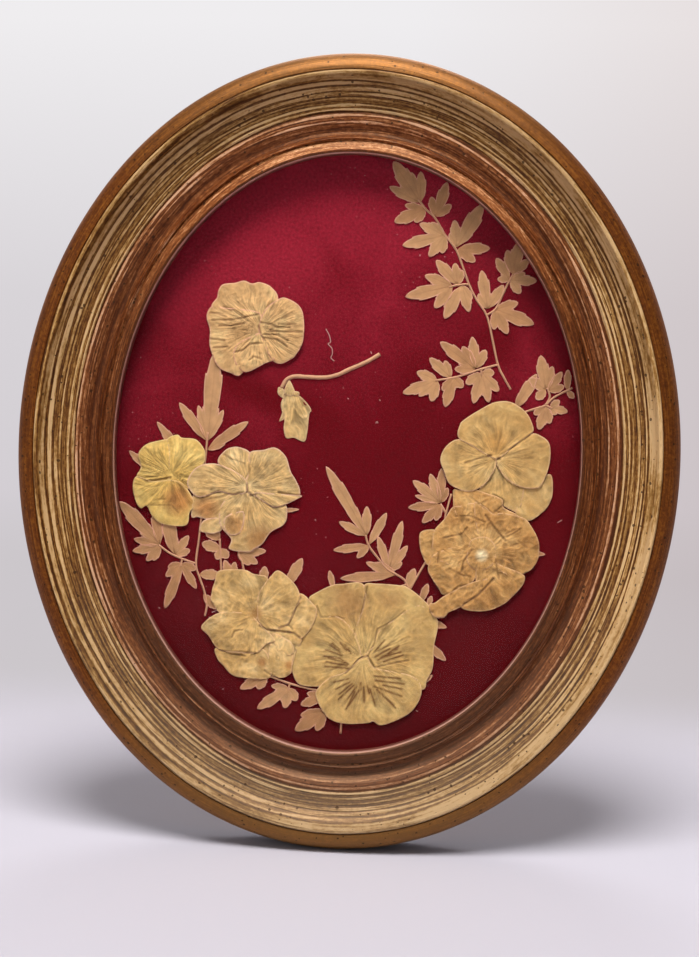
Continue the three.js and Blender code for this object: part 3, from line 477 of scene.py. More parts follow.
def worn_metal(name, low, high, roughness):
    """Metal with a dull skin and rubbed patches, in patches of a few millimetres."""
    finish, tree, shader = new_finish(name, {"Metallic": 1.0})
    where = add(tree, "TexCoord", out="Object")
    patches = add(tree, "TexNoise", {"Vector": where, "Scale": 260, "Detail": 4})
    scratches = add(tree, "TexNoise", {
        "Vector": add(tree, "VectorMath", {0: where, 1: (300, 300, 4000)}, operation="MULTIPLY"),
        "Scale": 1, "Detail": 2})
    tree.links.new(add(tree, "ValToRGB", {"Fac": patches}, stops=[
        (0.35, srgb(low)), (0.62, srgb(high))]), shader.inputs["Base Color"])
    tree.links.new(add(tree, "MapRange", {
        "Value": patches, "To Min": roughness + 0.14, "To Max": roughness - 0.08}),
        shader.inputs["Roughness"])
    tree.links.new(add(tree, "Bump", {
        "Height": scratches, "Strength": 0.15, "Distance": 0.0001}), shader.inputs["Normal"])
    return finish


aged_brass = worn_metal("aged stamped brass", "#7d5f33", "#c39f5c", 0.36)
dull_steel = worn_metal("dull steel", "#7d7b77", "#b4b2ad", 0.4)
for corner in CORNERS:
    make_piece(f"brass_button_{corner}", rounded_copy(f"turn_button_{corner}", 0.25), [aged_brass],
               [f"turn_button_{corner}"], f"button_{corner}")
make_piece("brass_strap", rounded_copy("strap_hanger", 0.15), [aged_brass], ["strap_hanger"])


HEAD_RADIUS = 2.6
HEAD_DEPTH = 1.2
SHANK_RADIUS = 1.2
SLOT_HALF = 0.35


def slotted_screw(name, node):
    """A pan head turned on its axis, with a driver slot cut across it, in the node's place."""
    low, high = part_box(node)
    centre = (low + high) / 2
    bm = bmesh.new()
    back, tip = high.y * 1000, low.y * 1000
    turns = [i / 8 * math.pi / 2 for i in range(1, 9)]
    stations = [(0, back)]
    stations += [(HEAD_RADIUS * math.sin(t), back - 0.75 * HEAD_DEPTH * (1 - math.cos(t))) for t in turns]
    stations += [(HEAD_RADIUS, back - HEAD_DEPTH), (SHANK_RADIUS, back - HEAD_DEPTH)]
    stations += [(SHANK_RADIUS, tip + SHANK_RADIUS), (0, tip)]
    rim = [bm.verts.new((x, y, 0)) for x, y in stations]
    line = [bm.edges.new(pair) for pair in zip(rim, rim[1:])]
    bmesh.ops.spin(bm, geom=rim + line, cent=(0, 0, 0), axis=(0, 1, 0), dvec=(0, 0, 0), angle=2 * math.pi,
                   steps=32, use_merge=True, use_duplicate=False)
    bmesh.ops.remove_doubles(bm, verts=bm.verts, dist=0.001)
    for side in (-SLOT_HALF, SLOT_HALF):
        bmesh.ops.bisect_plane(bm, geom=bm.verts[:] + bm.edges[:] + bm.faces[:], plane_co=(side, 0, 0),
                               plane_no=(1, 0, 0))
    slot_faces = []
    for polygon in bm.faces:
        middle = polygon.calc_center_median()
        reach = 0.76 if polygon.normal.y > 0.2 else 0.7
        if abs(middle.x) < SLOT_HALF and middle.y > back - reach * HEAD_DEPTH:
            slot_faces.append(polygon)
    sunk = bmesh.ops.extrude_face_region(bm, geom=slot_faces)
    bmesh.ops.delete(bm, geom=slot_faces, context="FACES_ONLY")
    for vert in [v for v in sunk["geom"] if isinstance(v, bmesh.types.BMVert)]:
        vert.co.y = back - 0.8 * HEAD_DEPTH
    for vert in bm.verts:
        vert.co = Vector((vert.co.x / 1000 + centre.x, vert.co.y / 1000, vert.co.z / 1000 + centre.z))
    bmesh.ops.recalc_face_normals(bm, faces=bm.faces)
    make_piece(name, bm, [dull_steel], [node])


for corner in CORNERS:
    slotted_screw(f"steel_screw_{corner}", f"button_screw_{corner}")
slotted_screw("steel_strap_screw", "strap_screw")

# D-ring: round brass wire, 2 mm thick, bent to a bow and a straight bar, which turns in the
# strap's curl. The ring is 16 mm wide over all.
RING_HALF = 7.0
RING_LEG = 3.0
WIRE = 1.0
HINGE_LEVEL = -2.6
HINGE_UP = 150.2
corners = [(-RING_HALF, 0), (-RING_HALF, -RING_LEG)]
corners += [(-RING_HALF * math.cos(i / 16 * math.pi), -RING_LEG - RING_HALF * math.sin(i / 16 * math.pi))
            for i in range(1, 16)]
corners += [(RING_HALF, -RING_LEG), (RING_HALF, 0)]
curve = bpy.data.curves.new("wire", "CURVE")
curve.dimensions = "3D"
curve.bevel_depth = WIRE / 1000
curve.bevel_resolution = 5
curve.use_fill_caps = True
spline = curve.splines.new("POLY")
spline.points.add(len(corners) - 1)
for point, (x, up) in zip(spline.points, corners):
    point.co = (*stood_up(x, HINGE_UP + up, HINGE_LEVEL), 1)
spline.use_cyclic_u = True
wire = bpy.data.objects.new("wire", curve)
bpy.context.scene.collection.objects.link(wire)
mesh = bpy.data.meshes.new_from_object(wire.evaluated_get(bpy.context.evaluated_depsgraph_get()))
bpy.data.objects.remove(wire)
bm = bmesh.new()
bm.from_mesh(mesh)
bmesh.ops.recalc_face_normals(bm, faces=bm.faces)
make_piece("brass_ring", bm, [aged_brass], ["d_ring"], "ring", sharp=50)

# Felt bumpers: punched discs of dark wool felt, glued to the foot of the frame's back, with
# rounded rims and a slightly uneven, fuzzy surface.
BUMPER_RADIUS = 4.9
wool_felt, tree, shader = new_finish("dark wool felt", {
    "Roughness": 1.0, "Sheen Weight": 0.4, "Sheen Roughness": 0.5})
where = add(tree, "TexCoord", out="Object")
matted = add(tree, "TexNoise", {"Vector": where, "Scale": 1500, "Detail": 5, "Distortion": 2})
tree.links.new(add(tree, "ValToRGB", {"Fac": matted}, stops=[
    (0.35, srgb("#26261f")), (0.65, srgb("#4a4a43"))]), shader.inputs["Base Color"])
tree.links.new(add(tree, "Bump", {
    "Height": matted, "Strength": 0.8, "Distance": 0.0004}), shader.inputs["Normal"])
for side in ("right", "left"):
    low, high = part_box(f"felt_bumper_{side}")
    centre = (low + high) / 2
    thick = (high.y - low.y) * 1000
    bm = bmesh.new()
    bmesh.ops.create_cone(bm, cap_ends=True, segments=40, radius1=BUMPER_RADIUS, radius2=BUMPER_RADIUS,
                          depth=thick)
    caps = [f for f in bm.faces if len(f.verts) > 4]
    bmesh.ops.bevel(bm, geom=[e for f in caps for e in f.edges], offset=0.5, offset_type="OFFSET",
                    affect="EDGES", segments=3, profile=0.5, material=-1)
    caps = [f for f in bm.faces if len(f.verts) > 4]
    bmesh.ops.inset_individual(bm, faces=caps, thickness=1.2)
    for vert in bm.verts:
        fuzz = 0.08 * noise.noise(vert.co * 1.3)
        vert.co = Vector((centre.x + vert.co.x * (0.99 + fuzz / 5) / 1000, centre.y + vert.co.z * 0.98 / 1000,
                          centre.z + vert.co.y * (0.99 + fuzz / 5) / 1000))
    bmesh.ops.recalc_face_normals(bm, faces=bm.faces)
    bumper = make_piece(f"felt_disc_{side}", bm, [wool_felt], [f"felt_bumper_{side}"])

# Leaf sprigs: pressed, dried compound leaves, faded to a pinkish tan, with a pale pink rim painted
# along their edges as a painted highlight. Each leaflet fans out from its foot into lobes, and thin
# stems join the leaflets.
SHARE_WIDTH = 97.4987
SHARE_HEIGHT = 124.0008
SHIFT = 0.6734
SPRIG_LEVEL = 4.55
STEM_WIDTH = 0.9
LOBE_SLIMNESS = 0.94
LOBE_PEAK = 0.385
LEAF_THICKNESS = 0.12


def spot(u, v):
    """A place given as shares of the sight's half sizes, in millimetres on the flat layout."""
    return Vector((SHARE_WIDTH * u + SHIFT, SHARE_HEIGHT * v))


def lobe_reach(turn, length, width):
    """How far a lobe, with its coarse teeth, reaches from its foot along a line turned away from
    its own middle line."""
    if abs(turn) > 1.3:
        return 0
    for step in range(60, 0, -1):
        along = step / 60
        reach = along * length / math.cos(turn)
        teeth = 0.84 + 0.22 * (along * 2.7 % 1)
        half = width / 2 * teeth * along ** 0.75 * (1 - along) ** 0.64 / LOBE_PEAK
        if reach * abs(math.sin(turn)) <= half + 0.02:
            return reach
    return 0


def add_leaflet(bm, layers, foot, lobes, tone, level):
    """A thin sheet that fans from the foot out to the joined outline of all the lobes."""
    vein_layer, rim_layer, tone_layer = layers
    ways = []
    for tip, width in lobes:
        along = tip - foot
        ways.append((math.atan2(along.y, along.x), along.length, width))
    middle = math.atan2(sum(math.sin(w[0]) * w[1] for w in ways), sum(math.cos(w[0]) * w[1] for w in ways))
    ways = [((way - middle + math.pi) % (2 * math.pi) - math.pi, length, width)
            for way, length, width in ways]
    turns = []
    for way, length, width in ways:
        open_angle = math.atan(width / length)
        for share in (0, 0.06, 0.13, 0.2, 0.28, 0.36, 0.45, 0.54, 0.64, 0.75, 0.87, 1.0, 1.2, 1.5):
            turns += [way + share * open_angle, way - share * open_angle]
    turns = sorted(set(round(t, 3) for t in turns))
    reaches = [max(max(lobe_reach(t - way, length, width) for way, length, width in ways), 0.45)
               for t in turns]
    rings = 7
    made = bmesh.ops.create_grid(bm, x_segments=len(turns) - 1, y_segments=rings, size=1)["verts"]
    for vert in made:
        column = round((vert.co.x + 1) / 2 * (len(turns) - 1))
        ring = round((vert.co.y + 1) / 2 * rings)
        out = 1 - (1 - ring / rings) ** 1.6
        turn, reach = turns[column], reaches[column]
        distance = max(out * reach, 0.12)
        angle = turn + middle
        place = foot + Vector((math.cos(angle), math.sin(angle))) * distance
        vein = 0
        for way, length, width in ways:
            aside = abs(distance * math.sin(turn - way))
            if abs(turn - way) < 1.2 and distance < length * 0.93:
                vein = max(vein, math.exp(-(aside / 0.28) ** 2) * (1 - 0.6 * distance / length))
        beside = reaches[min(column + 1, len(turns) - 1)] - reaches[max(column - 1, 0)]
        spread = max((turns[min(column + 1, len(turns) - 1)] - turns[max(column - 1, 0)]) * reach, 0.01)
        edge = (1 - out) * reach / math.hypot(1, beside / spread)
        vert[vein_layer] = vein
        # The rim value paints a pale pink highlight along the outline.
        vert[rim_layer] = 1 - smooth(0, 0.7, edge)
        vert[tone_layer] = tone
        ripple = 0.12 * noise.noise(Vector((place.x * 0.25, place.y * 0.25, tone * 9)))
        lift = 0.16 * out ** 2 + ripple - 0.06 * vein
        vert.co = stood_up(place.x, place.y, level + 0.16 + lift)


def smooth_path(places, parts=5):
    """A flowing line through the places."""
    line = []
    for i in range(len(places) - 1):
        a, b, c, d = (places[min(max(i + k, 0), len(places) - 1)] for k in (-1, 0, 1, 2))
        for k in range(parts):
            t = k / parts
            line.append(0.5 * (2 * b + (c - a) * t + (2 * a - 5 * b + 4 * c - d) * t * t
                               + (3 * b - a - 3 * c + d) * t ** 3))
    return line + [places[-1]]


def add_stem(bm, layers, places, width, level, crown=0.35, tone=0.5):
    """A flattened stalk: a narrow sheet along the line, crowned in the middle."""
    line = smooth_path(places)
    made = bmesh.ops.create_grid(bm, x_segments=len(line) - 1, y_segments=4, size=1)["verts"]
    for vert in made:
        column = round((vert.co.x + 1) / 2 * (len(line) - 1))
        side = vert.co.y
        run = (line[min(column + 1, len(line) - 1)] - line[max(column - 1, 0)]).normalized()
        uneven = 1 + 0.18 * noise.noise(Vector((line[column].x * 0.5, line[column].y * 0.5, side)))
        place = line[column] + Vector((-run.y, run.x)) * side * width / 2 * uneven
        vert[layers[0]] = 0
        # The stalk's sides get the rim value: a painted highlight along its edges.
        vert[layers[1]] = smooth(0.3, 1, abs(side)) * 0.7 + 0.3
        vert[layers[2]] = tone
        vert.co = stood_up(place.x, place.y, level + crown * (1 - side * side))


dried_leaf, tree, shader = new_finish("dried leaf", {"Roughness": 0.75, "Specular IOR Level": 0.25})
where = add(tree, "TexCoord", out="Object")
vein_out = add(tree, "Attribute", attribute_name="vein", out="Fac")
rim_out = add(tree, "Attribute", attribute_name="rim", out="Fac")
tone_out = add(tree, "Attribute", attribute_name="tone", out="Fac")
mottle = add(tree, "TexNoise", {"Vector": where, "Scale": 220, "Detail": 4})
toned = add(tree, "Mix", {"Factor": tone_out, "A": srgb("#b27f55"), "B": srgb("#c49366")},
            data_type="RGBA", out="Result")
mottled = add(tree, "Mix", {
    "Factor": 1, "A": toned,
    "B": add(tree, "ValToRGB", {"Fac": mottle}, stops=[(0.3, grey(0.82)), (0.7, grey(1.12))])},
    data_type="RGBA", blend_type="MULTIPLY", out="Result")
veined = add(tree, "Mix", {
    "Factor": add(tree, "Math", {0: vein_out, 1: 0.3}, operation="MULTIPLY"),
    "A": mottled, "B": srgb("#9a6846")}, data_type="RGBA", out="Result")
# Painted highlight: the rim is mixed towards pale pink, the light caught on the edges and the velvet's red
# reflected there.
tree.links.new(add(tree, "Mix", {
    "Factor": add(tree, "Math", {0: rim_out, 1: 0.85}, operation="MULTIPLY"),
    "A": veined, "B": srgb("#dda088")}, data_type="RGBA", out="Result"), shader.inputs["Base Color"])
tree.links.new(add(tree, "Bump", {
    "Height": mottle, "Strength": 0.3, "Distance": 0.0002}), shader.inputs["Normal"])

SPRIGS = {
    "upper_right": ([
        [(0.262, 0.86), (0.295, 0.828), (0.335, 0.8), (0.38, 0.745), (0.43, 0.695), (0.46, 0.64), (0.49, 0.58),
         (0.525, 0.53), (0.57, 0.478), (0.6, 0.39), (0.625, 0.315), (0.655, 0.27), (0.682, 0.236)],
        [(0.492, 0.583), (0.45, 0.58), (0.405, 0.572)],
        [(0.57, 0.482), (0.605, 0.503), (0.632, 0.55), (0.657, 0.595), (0.675, 0.62)],
        [(0.626, 0.318), (0.55, 0.3), (0.45, 0.272), (0.36, 0.258)],
        [(0.555, 0.305), (0.555, 0.28)],
    ], [
        [(0.272, 0.85), [(0.15, 0.985, 0.075), (0.137, 0.9, 0.05), (0.228, 0.95, 0.04), (0.268, 0.953, 0.052)]],
        [(0.292, 0.828), [(0.162, 0.783, 0.062), (0.25, 0.783, 0.045), (0.205, 0.84, 0.04)]],
        [(0.338, 0.805), [(0.382, 0.92, 0.055), (0.316, 0.87, 0.045), (0.403, 0.845, 0.045)]],
        [(0.378, 0.742), [(0.2, 0.705, 0.06), (0.27, 0.78, 0.05), (0.318, 0.785, 0.04), (0.315, 0.67, 0.05),
                          (0.37, 0.682, 0.045)]],
        [(0.432, 0.705), [(0.418, 0.795, 0.05), (0.535, 0.848, 0.075), (0.4, 0.752, 0.04)]],
        [(0.438, 0.7), [(0.573, 0.703, 0.055), (0.512, 0.657, 0.05), (0.472, 0.667, 0.04)]],
        [(0.44, 0.58), [(0.346, 0.66, 0.055), (0.426, 0.652, 0.045), (0.457, 0.63, 0.042)]],
        [(0.42, 0.575), [(0.22, 0.535, 0.066), (0.3, 0.608, 0.052), (0.346, 0.5, 0.055)]],
        [(0.458, 0.578), [(0.39, 0.465, 0.062), (0.494, 0.49, 0.05), (0.503, 0.53, 0.042)]],
        [(0.572, 0.503), [(0.54, 0.63, 0.055), (0.636, 0.583, 0.05), (0.53, 0.552, 0.045)]],
        [(0.66, 0.602), [(0.6, 0.672, 0.048), (0.608, 0.602, 0.035)]],
        [(0.672, 0.62), [(0.645, 0.7, 0.05), (0.695, 0.728, 0.062), (0.738, 0.67, 0.045)]],
        [(0.664, 0.6), [(0.725, 0.625, 0.042), (0.775, 0.6, 0.05), (0.708, 0.556, 0.045)]],
        [(0.605, 0.5), [(0.7, 0.526, 0.05), (0.77, 0.455, 0.066), (0.66, 0.42, 0.052), (0.602, 0.433, 0.045)]],
        [(0.528, 0.3), [(0.375, 0.388, 0.06), (0.47, 0.375, 0.052), (0.44, 0.298, 0.045)]],
        [(0.532, 0.303), [(0.51, 0.408, 0.05), (0.57, 0.366, 0.05)]],
        [(0.425, 0.268), [(0.332, 0.333, 0.05), (0.398, 0.326, 0.04)]],
        [(0.37, 0.258), [(0.223, 0.212, 0.055), (0.28, 0.285, 0.05), (0.346, 0.187, 0.05), (0.292, 0.203, 0.04)]],
        [(0.437, 0.27), [(0.406, 0.17, 0.055), (0.48, 0.237, 0.045), (0.39, 0.225, 0.04)]],
        [(0.556, 0.287), [(0.49, 0.25, 0.05), (0.526, 0.185, 0.052), (0.592, 0.19, 0.05), (0.632, 0.228, 0.05),
                          (0.61, 0.29, 0.045)]],
    ]),
    "right_edge": ([
        [(0.72, 0.155), (0.79, 0.175), (0.83, 0.186), (0.86, 0.21), (0.9, 0.23), (0.942, 0.247)],
        [(0.832, 0.188), (0.848, 0.215), (0.835, 0.245)],
        [(0.832, 0.186), (0.86, 0.178)],
    ], [
        [(0.83, 0.238), [(0.803, 0.353, 0.06), (0.855, 0.318, 0.045), (0.757, 0.275, 0.05), (0.79, 0.205, 0.045)]],
        [(0.7, 0.168), [(0.79, 0.29, 0.056)]],
        [(0.84, 0.235), [(0.896, 0.3, 0.042), (0.908, 0.252, 0.042)]],
        [(0.834, 0.182), [(0.782, 0.155, 0.04), (0.806, 0.104, 0.05), (0.852, 0.125, 0.045)]],
        [(0.852, 0.18), [(0.89, 0.205, 0.036), (0.926, 0.167, 0.04), (0.88, 0.157, 0.036)]],
        [(0.92, 0.238), [(0.92, 0.308, 0.036), (0.95, 0.213, 0.03)]],
    ]),
    "left": ([
        [(-0.61, 0.06), (-0.616, -0.01), (-0.622, -0.08), (-0.625, -0.2), (-0.635, -0.3), (-0.645, -0.39),
         (-0.625, -0.44), (-0.604, -0.485), (-0.593, -0.53), (-0.6, -0.565)],
        [(-0.645, -0.388), (-0.7, -0.375), (-0.755, -0.358), (-0.81, -0.33)],
        [(-0.705, -0.372), (-0.712, -0.4)],
        [(-0.622, -0.07), (-0.69, -0.045), (-0.76, -0.045), (-0.88, -0.068)],
    ], [
        [(-0.61, 0.03), [(-0.583, 0.34, 0.085), (-0.655, 0.15, 0.042), (-0.545, 0.137, 0.042)]],
        [(-0.614, 0.03), [(-0.738, 0.157, 0.05)]],
        [(-0.612, 0.0), [(-0.436, 0.1, 0.054), (-0.532, 0.024, 0.03)]],
        [(-0.69, -0.05), [(-0.832, 0.09, 0.045)]],
        [(-0.86, -0.075), [(-0.95, -0.012, 0.035)]],
        [(-0.805, -0.328), [(-0.988, -0.185, 0.07), (-0.92, -0.312, 0.042)]],
        [(-0.805, -0.332), [(-0.832, -0.2, 0.052)]],
        [(-0.802, -0.333), [(-0.924, -0.354, 0.045), (-0.862, -0.386, 0.04), (-0.832, -0.384, 0.036)]],
        [(-0.738, -0.362), [(-0.782, -0.22, 0.07), (-0.68, -0.293, 0.042), (-0.672, -0.342, 0.04)]],
        [(-0.708, -0.39), [(-0.776, -0.546, 0.052), (-0.64, -0.474, 0.042), (-0.776, -0.436, 0.042),
                           (-0.768, -0.405, 0.036), (-0.642, -0.408, 0.042)]],
        [(-0.63, -0.425), [(-0.54, -0.422, 0.052)]],
        [(-0.61, -0.492), [(-0.545, -0.54, 0.045)]],
    ]),
    "behind_cluster": ([
        [(-0.53, -0.45), (-0.535, -0.4), (-0.54, -0.345), (-0.545, -0.3)],
        [(-0.43, -0.43), (-0.445, -0.375), (-0.46, -0.345), (-0.42, -0.25), (-0.3, -0.197)],
        [(-0.53, -0.448), (-0.43, -0.428), (-0.36, -0.45), (-0.25, -0.455)],
    ], [
        [(-0.54, -0.335), [(-0.622, -0.318, 0.055), (-0.505, -0.365, 0.045), (-0.555, -0.372, 0.04)]],
        [(-0.543, -0.304), [(-0.612, -0.268, 0.05), (-0.6, -0.24, 0.045)]],
        [(-0.462, -0.345), [(-0.342, -0.336, 0.045), (-0.376, -0.38, 0.045), (-0.41, -0.386, 0.04)]],
        [(-0.49, -0.435), [(-0.522, -0.372, 0.04), (-0.475, -0.377, 0.038)]],
        [(-0.352, -0.45), [(-0.345, -0.388, 0.045)]],
        [(-0.25, -0.455), [(-0.184, -0.356, 0.055)]],
        [(-0.31, -0.2), [(-0.204, -0.191, 0.02)]],
    ]),
    "middle": ([
        [(0.085, -0.27), (0.1, -0.305), (0.14, -0.345), (0.18, -0.38), (0.225, -0.4), (0.262, -0.42),
         (0.28, -0.46)],
        [(0.278, -0.455), (0.345, -0.355), (0.41, -0.27), (0.425, -0.19), (0.446, -0.12)],
        [(0.425, -0.185), (0.4, -0.155)],
        [(0.418, -0.24), (0.6, -0.275), (0.78, -0.308)],
        [(0.28, -0.455), (0.33, -0.49), (0.37, -0.505)],
        [(0.268, -0.432), (0.1, -0.47), (-0.045, -0.455)],
    ], [
        [(0.09, -0.272), [(-0.095, -0.042, 0.06), (0.086, -0.172, 0.045), (-0.032, -0.228, 0.042)]],
        [(0.1, -0.303), [(0.172, -0.192, 0.045)]],
        [(0.102, -0.305), [(-0.052, -0.325, 0.042), (0.05, -0.348, 0.034)]],
        [(0.19, -0.385), [(0.24, -0.217, 0.05), (0.267, -0.3, 0.042), (0.138, -0.272, 0.042),
                          (0.246, -0.357, 0.036)]],
        [(0.222, -0.4), [(-0.018, -0.42, 0.05), (0.09, -0.362, 0.042), (0.135, -0.36, 0.036)]],
        [(0.268, -0.45), [(0.3, -0.376, 0.048)]],
        [(0.33, -0.49), [(0.359, -0.426, 0.036)]],
        [(0.362, -0.503), [(0.377, -0.467, 0.026)]],
        [(-0.045, -0.458), [(-0.066, -0.394, 0.03)]],
        [(0.402, -0.152), [(0.4, -0.036, 0.045), (0.43, -0.1, 0.036)]],
        [(0.4, -0.152), [(0.279, -0.08, 0.05), (0.352, -0.055, 0.045), (0.29, -0.13, 0.03)]],
        [(0.402, -0.158), [(0.263, -0.172, 0.045), (0.325, -0.222, 0.045), (0.382, -0.213, 0.038)]],
        [(0.77, -0.306), [(0.854, -0.313, 0.024)]],
    ]),
    "bottom": ([
        [(-0.34, -0.755), (-0.28, -0.77), (-0.22, -0.785), (-0.14, -0.799), (-0.08, -0.81), (-0.055, -0.85),
         (-0.06, -0.885)],
        [(-0.222, -0.787), (-0.228, -0.808)],
        [(-0.06, -0.86), (0, -0.885), (0.005, -0.948)],
    ], [
        [(-0.325, -0.758), [(-0.437, -0.81, 0.05), (-0.362, -0.808, 0.05)]],
        [(-0.226, -0.8), [(-0.36, -0.876, 0.055), (-0.24, -0.87, 0.05), (-0.188, -0.842, 0.05),
                          (-0.302, -0.795, 0.035)]],
        [(-0.075, -0.825), [(-0.172, -0.856, 0.048), (-0.146, -0.815, 0.038)]],
        [(-0.065, -0.872), [(-0.193, -0.945, 0.066), (-0.1, -0.943, 0.05), (-0.172, -0.892, 0.045)]],
    ]),
    "lower_right": ([
        [(0.34, -0.53), (0.36, -0.58), (0.365, -0.64), (0.35, -0.72), (0.345, -0.775)],
        [(0.34, -0.535), (0.37, -0.528)],
    ], [
        [(0.36, -0.528), [(0.437, -0.536, 0.024)]],
        [(0.355, -0.55), [(0.446, -0.572, 0.034)]],
        [(0.36, -0.625), [(0.447, -0.684, 0.04)]],
        [(0.35, -0.765), [(0.392, -0.735, 0.02)]],
    ]),
}


def make_sheet(name, bm, finish, thickness, replaces=()):
    """Turns a drawn sheet's faces to the viewer and gives it its thickness behind them."""
    for polygon in bm.faces:
        polygon.normal_update()
        if polygon.normal.y > 0:
            polygon.normal_flip()
    piece = make_piece(name, bm, [finish], replaces, sharp=80)
    shell = piece.modifiers.new("thickness", "SOLIDIFY")
    shell.thickness = thickness / 1000
    shell.offset = -1


def leaf_layers(bm):
    return [bm.verts.layers.float.new(name) for name in ("vein", "rim", "tone")]


for name, (stems, leaflets) in SPRIGS.items():
    chance = random.Random(name)
    bm = bmesh.new()
    layers = leaf_layers(bm)
    for stem in stems:
        add_stem(bm, layers, [spot(*place) for place in stem], STEM_WIDTH, SPRIG_LEVEL + 0.1, tone=0.7)
    for index, (foot, lobes) in enumerate(leaflets):
        tips = [(spot(u, v), width * SHARE_WIDTH * LOBE_SLIMNESS) for u, v, width in lobes]
        add_leaflet(bm, layers, spot(*foot), tips, chance.random(), SPRIG_LEVEL + 0.02 * (index % 4))
    make_sheet(f"leaves_{name}", bm, dried_leaf, LEAF_THICKNESS, [f"sprig_{name}"])

# Pressed pansies: real petals dried flat, thin as tissue and wrinkled towards the throat. A flower
# is a list of petals, the hindmost first, each with its level and its outline in the sight's shares.
PETAL_THICKNESS = 0.14
PITCH = 0.45
OUTLINE_PARTS = 16
GLASS_CLEARANCE = 7.45


def traced(shares):
    """A closed flowing outline through its places, with its outward ways and a tree to search it."""
    places = [spot(*share) for share in shares]
    line = smooth_path([places[-1]] + places + places[:2], OUTLINE_PARTS)
    line = line[OUTLINE_PARTS:OUTLINE_PARTS * (len(places) + 1)]
    area = sum(a.x * b.y - a.y * b.x for a, b in zip(line, line[1:] + line[:1]))
    runs = [(line[(i + 1) % len(line)] - line[i - 1]).normalized() for i in range(len(line))]
    tree = kdtree.KDTree(len(line))
    for index, place in enumerate(line):
        tree.insert((place.x, place.y, 0), index)
    tree.balance()
    return line, [Vector((run.y, -run.x)) * math.copysign(1, area) for run in runs], tree


def depth_inside(outline, place):
    """How far inside an outline a place lies in millimetres, below 0 outside it."""
    line, ways, tree = outline
    index = tree.find((place.x, place.y, 0))[1]
    away = place - line[index]
    return -math.copysign(away.length, away.dot(ways[index]))


def drawn(shares):
    """A line through its places, with the corners of the box outside which it leaves no mark."""
    places = [spot(*share) for share in shares]
    xs, ys = [place.x for place in places], [place.y for place in places]
    return places, Vector((min(xs) - 2, min(ys) - 2)), Vector((max(xs) + 2, max(ys) + 2))


def nearness(place, line, width):
    """1 on a drawn line, falling to 0 a few widths away; and how strongly its raised sides show."""
    places, low, high = line
    if not (low.x < place.x < high.x and low.y < place.y < high.y):
        return 0, 0
    gaps = []
    for start, end in zip(places, places[1:]):
        along = end - start
        share = min(max((place - start).dot(along) / max(along.length_squared, 1e-9), 0), 1)
        gaps.append((place - start - along * share).length)
    mark = math.exp(-(min(gaps) / width) ** 2)
    return mark, math.exp(-(min(gaps) / (2.2 * width)) ** 2) - mark


def ridge(x, y, z):
    """Noise with sharp crests and broad hollows, as dried tissue wrinkles."""
    return 0.5 - 2.2 * abs(noise.noise(Vector((x, y, z))))


